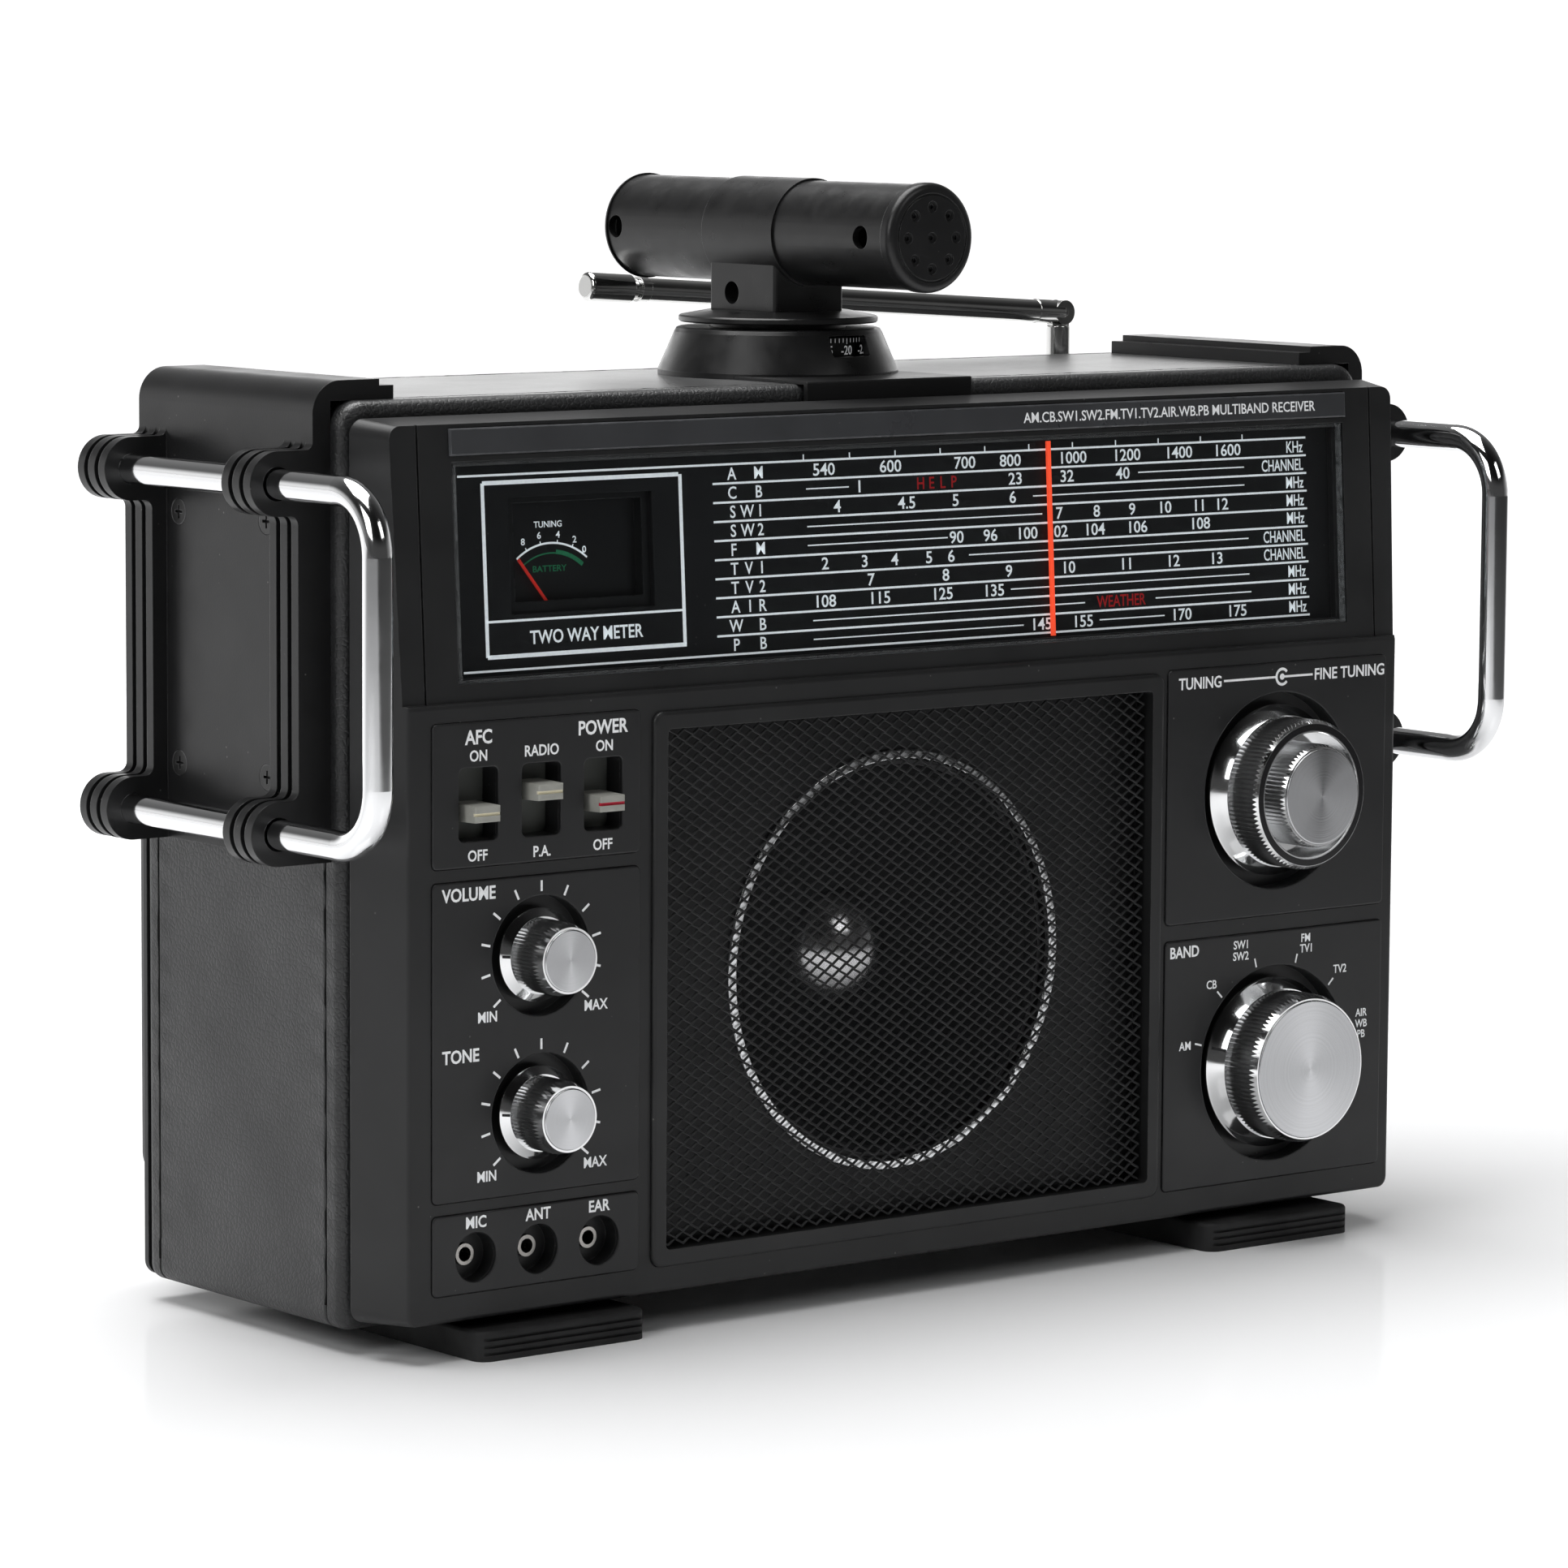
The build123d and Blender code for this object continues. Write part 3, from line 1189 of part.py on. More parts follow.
with BuildPart() as whip_section_1:
    with BuildSketch(Plane(origin=(WHIP_X, WHIP_Y - 3.2, 0), x_dir=(1, 0, 0), z_dir=(0, -1, 0))):
        with Locations((0, ELBOW_Z)):
            Circle(3.5)
    extrude(amount=-6.4)
    with BuildSketch(whip_plane(0)):
        Circle(3.5)
    extrude(amount=9.0)
    with BuildSketch(Plane(origin=(WHIP_X, WHIP_Y - 1.26, 0), x_dir=(1, 0, 0), z_dir=(0, -1, 0))):
        with Locations((0, ELBOW_Z)):
            Circle(4.8)
    extrude(amount=-2.52, mode=Mode.SUBTRACT)
    with BuildSketch(Plane(origin=(WHIP_X, WHIP_Y - 3.4, 0), x_dir=(1, 0, 0), z_dir=(0, -1, 0))):
        with Locations((0, ELBOW_Z)):
            Circle(1.0)
    extrude(amount=-6.8)
    with BuildSketch(whip_plane(9.0)):
        Circle(3.3)
    extrude(amount=143.0)
    with BuildSketch(whip_plane(149.0)):
        Circle(3.45)
    extrude(amount=3.0)
    with BuildSketch(whip_plane(10.0)):
        Circle(2.9)
    extrude(amount=145.0, mode=Mode.SUBTRACT)
save(whip_section_1.part, "whip_section_1")

WHIP_TUBES = (
    ("whip_section_2", 2.84, 2.42, 11.0, 153.0),
    ("whip_section_3", 2.36, 1.96, 11.5, 154.0),
)
for label, outer, inner, start, end in WHIP_TUBES:
    with BuildPart() as tube:
        with BuildSketch(whip_plane(start)):
            Circle(outer)
            Circle(inner, mode=Mode.SUBTRACT)
        extrude(amount=end - start)
    save(tube.part, label)

with BuildPart() as whip_section_4:
    with BuildSketch(whip_plane(12.0)):
        Circle(1.9)
    extrude(amount=145.0)
    with BuildSketch(whip_plane(155.0)):
        Circle(4.0)
    extrude(amount=14.6)
    tip = whip_section_4.faces().filter_by(GeomType.PLANE).sort_by(Axis.X)[0]
    fillet(tip.edges(), 1.2)
save(whip_section_4.part, "whip_section_4")
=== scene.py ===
"""Portable multiband receiver: materials, printed marks, knurled knobs, speaker mesh, seams and
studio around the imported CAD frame. Lengths in the helpers below are in millimetres, as in the part."""
import math
import random

import bmesh
import bpy
from mathutils import Matrix, Vector


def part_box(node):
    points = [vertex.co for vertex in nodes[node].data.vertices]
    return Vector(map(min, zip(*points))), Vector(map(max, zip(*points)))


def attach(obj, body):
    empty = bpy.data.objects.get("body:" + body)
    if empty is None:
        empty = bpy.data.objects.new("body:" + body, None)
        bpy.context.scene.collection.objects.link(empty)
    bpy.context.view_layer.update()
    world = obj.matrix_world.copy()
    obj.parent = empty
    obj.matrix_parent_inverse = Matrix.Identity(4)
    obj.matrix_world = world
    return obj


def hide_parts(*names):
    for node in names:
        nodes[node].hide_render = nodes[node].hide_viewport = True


MM = 0.001
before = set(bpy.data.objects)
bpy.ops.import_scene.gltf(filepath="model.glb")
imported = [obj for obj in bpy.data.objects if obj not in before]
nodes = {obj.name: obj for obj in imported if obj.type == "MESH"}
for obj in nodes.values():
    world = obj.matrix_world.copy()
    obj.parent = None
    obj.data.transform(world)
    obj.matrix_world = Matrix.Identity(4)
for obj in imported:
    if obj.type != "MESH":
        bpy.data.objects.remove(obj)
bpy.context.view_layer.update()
rng = random.Random(7)


def box_mm(node):
    """Lowest and highest corners of a CAD node, in millimetres."""
    lo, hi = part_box(node)
    return Vector(lo) / MM, Vector(hi) / MM


def middle(node):
    lo, hi = box_mm(node)
    return (lo + hi) / 2


# ---------------------------------------------------------------------------
# Materials
# ---------------------------------------------------------------------------
class Shade:
    """A material's node graph, built from a Principled surface and a few reusable steps."""

    def __init__(self, name, **surface):
        self.mat = bpy.data.materials.new(name)
        self.mat.use_nodes = True
        self.tree = self.mat.node_tree
        self.tree.nodes.clear()
        self.out = self.node("ShaderNodeOutputMaterial")
        self.coords = self.node("ShaderNodeTexCoord").outputs["Object"]
        self.bsdf = self.node("ShaderNodeBsdfPrincipled", surface)
        self.tree.links.new(self.bsdf.outputs[0], self.out.inputs["Surface"])
        self.normal = None

    def node(self, kind, sockets=None, **settings):
        made = self.tree.nodes.new(kind)
        for key, value in settings.items():
            setattr(made, key, value)
        for key, value in (sockets or {}).items():
            self.put(made.inputs[key], value)
        return made

    def put(self, socket, value):
        if isinstance(value, bpy.types.NodeSocket):
            self.tree.links.new(value, socket)
        elif socket.type == "RGBA" and len(value) == 3:
            socket.default_value = (*value, 1.0)
        else:
            socket.default_value = value

    def set(self, **sockets):
        for key, value in sockets.items():
            self.put(self.bsdf.inputs[key.replace("_", " ")], value)

    def maths(self, operation, a, b=0.0, c=0.0):
        made = self.node("ShaderNodeMath", {0: a, 1: b, 2: c}, operation=operation)
        return made.outputs[0]

    def span(self, value, low, high, to_low=0.0, to_high=1.0, smooth=False):
        made = self.node(
            "ShaderNodeMapRange",
            {"Value": value, "From Min": low, "From Max": high, "To Min": to_low, "To Max": to_high},
            interpolation_type="SMOOTHSTEP" if smooth else "LINEAR",
        )
        return made.outputs[0]

    def blend(self, factor, a, b):
        made = self.node("ShaderNodeMix", {0: factor, 6: a, 7: b}, data_type="RGBA")
        return made.outputs[2]

    def mix(self, factor, a, b):
        """A mix of two surfaces."""
        return self.node("ShaderNodeMixShader", {0: factor, 1: a.outputs[0], 2: b.outputs[0]})

    def noise(self, size_mm, detail=3.0, roughness=0.55, stretch=None):
        coords = self.coords
        if stretch:
            coords = self.node("ShaderNodeMapping", {"Vector": coords, "Scale": stretch}).outputs[0]
        made = self.node(
            "ShaderNodeTexNoise",
            {"Vector": coords, "Scale": 1 / (size_mm * MM), "Detail": detail, "Roughness": roughness},
        )
        return made.outputs[0]

    def cells(self, size_mm, feature="F1", randomness=1.0):
        made = self.node(
            "ShaderNodeTexVoronoi",
            {"Vector": self.coords, "Scale": 1 / (size_mm * MM), "Randomness": randomness},
            feature=feature,
        )
        return made.outputs["Distance"]

    def axis(self, name):
        return self.node("ShaderNodeSeparateXYZ", {0: self.coords}).outputs[name]

    def facing(self, name):
        """One component of the surface normal, in the piece's own frame."""
        normal = self.node("ShaderNodeTexCoord").outputs["Normal"]
        return self.node("ShaderNodeSeparateXYZ", {0: normal}).outputs[name]

    def bump(self, height, depth_mm, strength=1.0):
        sockets = {"Height": height, "Distance": depth_mm * MM, "Strength": strength}
        if self.normal:
            sockets["Normal"] = self.normal
        self.normal = self.node("ShaderNodeBump", sockets).outputs[0]
        self.put(self.bsdf.inputs["Normal"], self.normal)

    def soften(self, radius_mm):
        """Rounds every sharp edge in the shading by a small radius."""
        self.normal = self.node(
            "ShaderNodeBevel", {"Radius": radius_mm * MM}, samples=6
        ).outputs[0]
        self.put(self.bsdf.inputs["Normal"], self.normal)
        return self.normal

    def edge_mask(self, radius_mm=0.5, low=0.9, high=0.995):
        """1 on convex edges and 0 on flats, broken up by noise."""
        rounded = self.node("ShaderNodeBevel", {"Radius": radius_mm * MM}, samples=6).outputs[0]
        true = self.node("ShaderNodeNewGeometry").outputs["Normal"]
        match = self.node("ShaderNodeVectorMath", {0: rounded, 1: true}, operation="DOT_PRODUCT")
        raw = self.span(match.outputs["Value"], high, low)
        return self.maths("MULTIPLY", raw, self.span(self.noise(3.0, 4), 0.4, 0.68))

    def around(self, x, z):
        """Distance in metres from an axis that runs along Y through x, z (millimetres)."""
        dx = self.maths("SUBTRACT", self.axis("X"), x * MM)
        dz = self.maths("SUBTRACT", self.axis("Z"), z * MM)
        squares = self.maths("ADD", self.maths("MULTIPLY", dx, dx), self.maths("MULTIPLY", dz, dz))
        return self.maths("SQRT", squares)


def scaled(colour, amount):
    return [c * amount for c in colour]


def plastic(name, base, worn, rough, grain_mm=0.35, grain_depth=0.012, specular=0.45, dust=0.5, edge=0.28):
    """Moulded plastic: fine spark-eroded grain, soft edges, polished wear and a few dust specks."""
    shade = Shade(name, **{"IOR": 1.48, "Specular IOR Level": specular})
    shade.soften(edge)
    cloud = shade.noise(38, 4)
    grain = shade.noise(grain_mm, 2, 0.6)
    shade.bump(grain, grain_depth)
    wear = shade.edge_mask(0.4)
    tone = shade.blend(shade.span(cloud, 0.3, 0.7), scaled(base, 0.85), scaled(base, 1.18))
    tone = shade.blend(shade.maths("MULTIPLY", wear, 0.7), tone, worn)
    specks = shade.span(shade.cells(4.2), 0.07, 0.045)
    specks = shade.maths("MULTIPLY", specks, shade.span(shade.noise(14, 2), 0.52, 0.62))
    tone = shade.blend(shade.maths("MULTIPLY", specks, dust), tone, (0.22, 0.215, 0.205))
    smear = shade.span(shade.noise(22, 5, 0.65), 0.3, 0.75, rough - 0.05, rough + 0.09)
    polish = shade.maths("MULTIPLY", wear, 0.16)
    shade.set(Base_Color=tone, Roughness=shade.maths("SUBTRACT", smear, polish))
    return shade.mat


def leather(name, base, seams=()):
    """Black leatherette: fine pebbled grain with creases darkened by painted shade, rubbed patches and puckers
    along the seams.
    """
    shade = Shade(name, **{"IOR": 1.5, "Specular IOR Level": 0.7})
    shade.soften(0.6)
    pebble = shade.cells(0.8)
    crease = shade.cells(1.5, "DISTANCE_TO_EDGE")
    cloud = shade.noise(46, 4, 0.6)
    fine = shade.noise(0.3, 2)
    height = shade.maths("SUBTRACT", shade.span(crease, 0.0, 0.22), shade.maths("MULTIPLY", pebble, 0.55))
    height = shade.maths("ADD", height, shade.maths("MULTIPLY", fine, 0.25))
    shade.bump(shade.noise(21, 3), 0.16, 0.5)
    shade.bump(height, 0.07, 0.75)
    for y, pitch in seams:
        away = shade.maths("ABSOLUTE", shade.maths("SUBTRACT", shade.axis("Y"), y * MM))
        near = shade.span(away, 6.5 * MM, 0.6 * MM, smooth=True)
        wave = shade.maths("SINE", shade.maths("MULTIPLY", shade.axis("Z"), 2 * math.pi / (pitch * MM)))
        across = shade.maths("MULTIPLY", shade.axis("X"), 2 * math.pi / (pitch * MM))
        wave = shade.maths("ADD", wave, shade.maths("SINE", across))
        shade.bump(shade.maths("MULTIPLY", near, wave), 0.16, 0.8)
    tone = shade.blend(shade.span(cloud, 0.32, 0.7), scaled(base, 0.8), scaled(base, 1.3))
    # painted shade: the colour is darkened in the creases
    tone = shade.blend(shade.span(crease, 0.05, 0.0), tone, scaled(base, 0.45))
    rub = shade.edge_mask(1.1)
    tone = shade.blend(shade.maths("MULTIPLY", rub, 0.35), tone, (0.06, 0.058, 0.055))
    rough = shade.span(shade.noise(30, 4, 0.6), 0.3, 0.72, 0.36, 0.5)
    upward = shade.span(shade.facing("Z"), 0.6, 0.95)
    shade.set(Specular_IOR_Level=shade.span(upward, 0.0, 1.0, 0.6, 1.0))
    shade.set(Coat_Weight=shade.maths("MULTIPLY", upward, 0.7), Coat_Roughness=0.3)
    shade.set(Base_Color=tone, Roughness=rough)
    return shade.mat


PLATING = (0.86, 0.865, 0.875)


def chrome(name, tint=PLATING, rough=0.05, smear=0.07, edge=0.12, ripple=0.0, bands=(), grip=0.0):
    """Bright plating over a smooth body: faint handling marks, pits and a little waviness.
    Each band is a painted ring: inner and outer radius, axis x and z, and the y it ends at.
    grip is a duller finish on the faces of a knurl, which never face along Y."""
    shade = Shade(name, Metallic=1.0)
    shade.soften(edge)
    if ripple:
        shade.bump(shade.noise(9, 2), ripple, 0.5)
    pits = shade.span(shade.cells(3.4), 0.05, 0.02)
    pits = shade.maths("MULTIPLY", pits, shade.span(shade.noise(17, 3), 0.5, 0.66))
    tone = shade.blend(shade.maths("MULTIPLY", pits, 0.6), tint, (0.2, 0.19, 0.17))
    for low, high, x, z, y in bands:
        ring = shade.around(x, z)
        past_low = shade.maths("GREATER_THAN", ring, low * MM)
        inside = shade.maths("MULTIPLY", past_low, shade.maths("LESS_THAN", ring, high * MM))
        inside = shade.maths("MULTIPLY", inside, shade.maths("LESS_THAN", shade.axis("Y"), y * MM))
        tone = shade.blend(inside, tone, (0.015, 0.015, 0.016))
        shade.set(Metallic=shade.maths("SUBTRACT", 1.0, inside))
    cloud = shade.span(shade.noise(12, 5, 0.65), 0.35, 0.75, rough, rough + smear)
    if grip:
        sides = shade.maths("LESS_THAN", shade.maths("ABSOLUTE", shade.facing("Y")), 0.12)
        cloud = shade.maths("ADD", cloud, shade.maths("MULTIPLY", sides, grip))
    shade.set(Base_Color=tone, Roughness=cloud)
    return shade.mat


def spun(name, tint):
    """Lathe-turned aluminium disc: concentric tool lines and a fan of light about the centre."""
    shade = Shade(name, Metallic=1.0, Anisotropic=0.95, Roughness=0.2)
    shade.set(Tangent=shade.node("ShaderNodeTangent", direction_type="RADIAL", axis="Y").outputs[0])
    local = shade.node("ShaderNodeTexCoord").outputs["Generated"]
    off = shade.node("ShaderNodeVectorMath", {0: local, 1: (0.5, 0.5, 0.5)}, operation="SUBTRACT")
    flat = shade.node("ShaderNodeVectorMath", {0: off.outputs[0], 1: (1.0, 0.0, 1.0)}, operation="MULTIPLY")
    ring = shade.node("ShaderNodeVectorMath", {0: flat.outputs[0]}, operation="LENGTH").outputs["Value"]
    cuts = {"W": ring, "Scale": 62.0, "Detail": 3.0}
    lines = shade.node("ShaderNodeTexNoise", cuts, noise_dimensions="1D").outputs[0]
    shade.set(Base_Color=shade.blend(shade.span(lines, 0.35, 0.65), scaled(tint, 0.93), tint))
    shade.bump(lines, 0.006, 0.5)
    return shade.mat


def ink(name, colour, fade=0.75, glow=0.0):
    """Screen-printed ink, a little thin in places; glow is painted light, an emission that makes the ink
    brighter than its lighting gives.
    """
    shade = Shade(name, **{"Specular IOR Level": 0.3})
    # painted light: the emission makes the ink glow beyond what the lamps give it
    shade.set(Emission_Color=colour, Emission_Strength=glow)
    thin = shade.span(shade.noise(0.9, 3), 0.3, 0.62)
    tone = shade.blend(thin, scaled(colour, fade), colour)
    shade.set(Base_Color=tone, Roughness=shade.span(shade.noise(5, 2), 0.3, 0.7, 0.4, 0.55))
    shade.bump(shade.noise(0.25, 2), 0.004)
    return shade.mat


def paper(name, base, rough=0.85):
    """Pressed fibre: soft mottling and a felted surface."""
    shade = Shade(name, **{"Specular IOR Level": 0.25})
    shade.set(Base_Color=shade.blend(shade.span(shade.noise(4, 5), 0.3, 0.7), scaled(base, 0.7), base))
    shade.set(Roughness=shade.span(shade.noise(1.1, 3), 0.3, 0.7, rough - 0.1, rough))
    shade.bump(shade.noise(0.5, 4, 0.7), 0.08)
    return shade.mat


def rubber(name, base):
    """Matt rubber with a fine bloom."""
    shade = Shade(name, **{"Specular IOR Level": 0.35})
    shade.soften(0.35)
    tone = shade.blend(shade.span(shade.noise(16, 5), 0.35, 0.72), base, scaled(base, 2.1))
    shade.set(Base_Color=tone, Roughness=shade.span(shade.noise(7, 4), 0.3, 0.7, 0.52, 0.7))
    shade.bump(shade.noise(0.4, 3), 0.02)
    return shade.mat


def painted_metal(name, base, rough, chips=0.3, specular=0.5):
    """Thin black paint on metal, worn bright along its edges."""
    shade = Shade(name, **{"Specular IOR Level": specular})
    shade.soften(0.2)
    wear = shade.edge_mask(0.3, 0.86, 0.985)
    tone = shade.blend(shade.span(shade.noise(11, 4), 0.3, 0.7), scaled(base, 0.85), scaled(base, 1.2))
    tone = shade.blend(shade.maths("MULTIPLY", wear, chips), tone, (0.42, 0.42, 0.43))
    shade.set(Base_Color=tone, Roughness=shade.span(shade.noise(6, 4), 0.3, 0.7, rough, rough + 0.12))
    shade.bump(shade.noise(0.5, 2), 0.01)
    return shade.mat


def clear_window(name):
    """Clear acrylic: clear through its faces, frosted and bright on its sawn edges."""
    shade = Shade(name)
    edge = shade.span(shade.maths("ABSOLUTE", shade.facing("Y")), 0.9, 0.6)
    outside = shade.maths("SUBTRACT", 1.0, shade.node("ShaderNodeNewGeometry").outputs["Backfacing"])
    fresnel = shade.node("ShaderNodeFresnel", {"IOR": 1.46}).outputs[0]
    fresnel = shade.maths("MULTIPLY", fresnel, outside)
    haze = shade.span(shade.noise(30, 4), 0.45, 0.75, -0.012, 0.004)
    clear = shade.node("ShaderNodeBsdfTransparent", {"Color": (0.93, 0.945, 0.95)})
    gloss = shade.node("ShaderNodeBsdfGlossy", {"Color": (1, 1, 1), "Roughness": 0.03})
    frost = shade.node("ShaderNodeBsdfDiffuse", {"Color": (0.55, 0.57, 0.58)})
    speckle = shade.maths("MULTIPLY", edge, shade.span(shade.noise(1.2, 3), 0.25, 0.6))
    sheet = shade.mix(shade.maths("ADD", fresnel, haze), clear, gloss)
    both = shade.mix(speckle, sheet, shade.mix(0.3, clear, frost))
    shade.tree.links.new(both.outputs[0], shade.out.inputs["Surface"])
    shade.tree.nodes.remove(shade.bsdf)
    return shade.mat


def slider_cap(name, node, line):
    """Grey-beige cap with a coloured line in its groove, on a shutter of the same grey painted dark as painted
    shade.
    """
    shade = Shade(name, **{"Specular IOR Level": 0.4})
    shade.soften(0.25)
    lo, hi = box_mm(node)
    z = (lo.z + hi.z) / 2
    grey = shade.blend(shade.span(shade.noise(3, 3), 0.3, 0.7), (0.36, 0.36, 0.325), (0.42, 0.42, 0.385))
    # painted shade: the shutter behind the cap is the cap's own grey in shadow, painted dark here
    behind = shade.maths("GREATER_THAN", shade.axis("Y"), (hi.y - 1.25) * MM)
    tone = shade.blend(behind, grey, (0.085, 0.09, 0.083))
    off = shade.maths("ABSOLUTE", shade.maths("SUBTRACT", shade.axis("Z"), z * MM))
    level = shade.maths("LESS_THAN", off, 0.38 * MM)
    near = shade.maths("LESS_THAN", shade.axis("Y"), (lo.y + 0.9) * MM)
    groove = shade.maths("MULTIPLY", level, near)
    shade.set(Base_Color=shade.blend(groove, tone, line))
    shade.set(Roughness=shade.span(shade.noise(6, 3), 0.3, 0.7, 0.38, 0.5))
    shade.bump(shade.noise(0.3, 2), 0.01)
    return shade.mat


def board_material(name):
    """Brown laminate board with printed copper runs."""
    shade = Shade(name)
    runs = shade.span(shade.noise(3.2, 1, stretch=(1.0, 1.0, 0.35)), 0.5, 0.53)
    shade.set(Base_Color=shade.blend(runs, (0.16, 0.085, 0.03), (0.32, 0.19, 0.06)))
    shade.set(Roughness=shade.span(runs, 0.0, 1.0, 0.55, 0.35))
    shade.bump(runs, 0.05)
    return shade.mat


SEAM_FRONT = 28.75
SEAM_REAR = 104.25
PUCKER = 9.5
PANEL_Y = box_mm("switch_plate")[0].y + 0.6
seam_lines = [(PANEL_Y + SEAM_FRONT, PUCKER), (PANEL_Y + SEAM_REAR, PUCKER)]
tuning_mid = middle("tuning_knob")

MOULD = plastic("black_moulding", (0.0125, 0.0127, 0.0132), (0.07, 0.07, 0.07), 0.4)
PANEL = plastic("panel_plate", (0.0135, 0.0137, 0.0145), (0.07, 0.07, 0.072), 0.36, 0.25, 0.008)
BEZEL = plastic("bezel_moulding", (0.0125, 0.0127, 0.0132), (0.06, 0.06, 0.06), 0.38)
BRACKET = plastic("bracket_moulding", (0.011, 0.011, 0.0115), (0.05, 0.05, 0.05), 0.34, 0.6, 0.02)
TITLE = plastic("title_strip_paint", (0.05, 0.0515, 0.0555), (0.3, 0.31, 0.33), 0.3, 0.4, 0.006, dust=0.3)
DIAL = plastic("dial_back", (0.0085, 0.0088, 0.0095), (0.02, 0.02, 0.02), 0.5, specular=0.25, dust=0.15)
METER = plastic("meter_shell", (0.0085, 0.0088, 0.0092), (0.03, 0.03, 0.03), 0.34, specular=0.35, dust=0.1)
LEATHER = leather("leatherette", (0.0145, 0.015, 0.016), seam_lines)
PIPING = leather("piping_leatherette", (0.0125, 0.013, 0.0138), seam_lines)
CHROME = chrome("bar_chrome", rough=0.055, ripple=0.02)
WHIP = chrome("whip_chrome", (0.8, 0.8, 0.79), 0.09, 0.09)
KNOB = chrome("knob_chrome", (0.84, 0.845, 0.85), 0.07, 0.06, 0.04, grip=0.13)
TUNING_KNOB = chrome(
    "tuning_knob_chrome", (0.84, 0.845, 0.85), 0.07, 0.06, 0.04, grip=0.13,
    bands=[(17.4, 19.2, tuning_mid.x, tuning_mid.z, box_mm("tuning_knob")[0].y + 0.05)],
)
FACE = spun("spun_face", (0.6, 0.605, 0.62))
RING = chrome("speaker_ring_plate", (0.8, 0.81, 0.82), 0.12, 0.08)
CAP_METAL = chrome("dust_cap_metal", (0.8, 0.8, 0.81), 0.16, 0.08)
JACK = chrome("jack_nickel", (0.4, 0.385, 0.365), 0.22, 0.14)
MESH = painted_metal("mesh_paint", (0.02, 0.0205, 0.0215), 0.3, 0.12, 0.6)
ANTENNA = painted_metal("antenna_paint", (0.0095, 0.0095, 0.0098), 0.26, 0.08)
SCREW = painted_metal("screw_black", (0.02, 0.02, 0.02), 0.3, 0.6)
BASKET = painted_metal("basket_steel", (0.05, 0.05, 0.052), 0.4, 0.4)
INTERNALS = chrome("internal_cans", (0.5, 0.5, 0.5), 0.35, 0.15)
FOOT = rubber("foot_rubber", (0.014, 0.014, 0.0143))
CONE = paper("cone_paper", (0.018, 0.0185, 0.0195))
FERRITE = paper("ferrite", (0.03, 0.03, 0.032), 0.6)
BOARD = board_material("laminate_board")
WINDOW = clear_window("clear_window")
# The last number of each ink is its painted glow, emission that brightens the print beyond its light
POINTER = ink("pointer_orange", (1.0, 0.085, 0.03), 0.94, 0.75)
NEEDLE = ink("needle_red", (0.75, 0.03, 0.02), 0.9, 0.15)
WHITE = ink("white_print", (0.84, 0.85, 0.86), 0.86, 0.2)
DIAL_WHITE = ink("dial_print_white", (0.84, 0.87, 0.89), 0.86, 0.42)
RED = ink("red_print", (0.5, 0.012, 0.014), glow=0.12)
GREEN = ink("green_print", (0.02, 0.2, 0.09), glow=0.12)
THREAD = ink("black_thread", (0.01, 0.01, 0.011))
CORD = paper("seam_cord", (0.004, 0.004, 0.0042), 0.9)
THREAD_GREY = ink("grey_thread", (0.2, 0.195, 0.185))

finishes = {
    "cabinet_sleeve": LEATHER, "edge_piping": PIPING, "back_cover": MOULD, "battery_door": MOULD,
    "front_moulding": MOULD, "title_strip": TITLE, "dial_window": WINDOW, "dial_plate": DIAL,
    "dial_pointer": POINTER, "meter_case": METER, "meter_needle": NEEDLE, "switch_plate": PANEL,
    "volume_tone_plate": PANEL, "jack_plate": PANEL, "tuning_plate": PANEL, "band_plate": PANEL,
    "speaker_bezel": BEZEL, "speaker_mesh": MESH, "speaker_ring": RING, "speaker_basket": BASKET,
    "speaker_cone": CONE, "speaker_dust_cap": CAP_METAL, "speaker_magnet": BASKET,
    "potentiometers": INTERNALS, "band_switch": INTERNALS, "tuning_capacitor": INTERNALS,
    "slide_switches": INTERNALS, "jack_sockets": JACK, "circuit_board": BOARD,
    "bracket_left": BRACKET, "bracket_right": BRACKET, "bar_left": CHROME, "bar_right": CHROME,
    "case_screws": SCREW, "foot_left": FOOT, "foot_right": FOOT, "antenna_plate": BRACKET,
    "antenna_cone": ANTENNA, "antenna_turntable": ANTENNA, "antenna_holder": ANTENNA,
    "antenna_tube": ANTENNA, "antenna_end_caps": BRACKET, "ferrite_rod": FERRITE,
    "whip_post": WHIP, "whip_section_1": WHIP, "whip_section_2": WHIP, "whip_section_3": WHIP,
    "whip_section_4": WHIP, "volume_knob": KNOB, "tone_knob": KNOB, "band_knob": KNOB,
    "tuning_knob": TUNING_KNOB, "fine_tuning_knob": KNOB, "volume_knob_face": FACE,
    "tone_knob_face": FACE, "band_knob_face": FACE, "fine_tuning_face": FACE,
    "afc_slider": slider_cap("afc_cap", "afc_slider", (0.85, 0.8, 0.62)),
    "mode_slider": slider_cap("mode_cap", "mode_slider", (0.85, 0.8, 0.62)),
    "power_slider": slider_cap("power_cap", "power_slider", (0.55, 0.01, 0.04)),
}
for name, made in finishes.items():
    data = nodes[name].data
    data.materials.clear()
    data.materials.append(made)


# ---------------------------------------------------------------------------
# Printed marks
# ---------------------------------------------------------------------------
INK_DEPTH = 0.03
LETTER_DEPTH = 0.02
letter_cache = {}


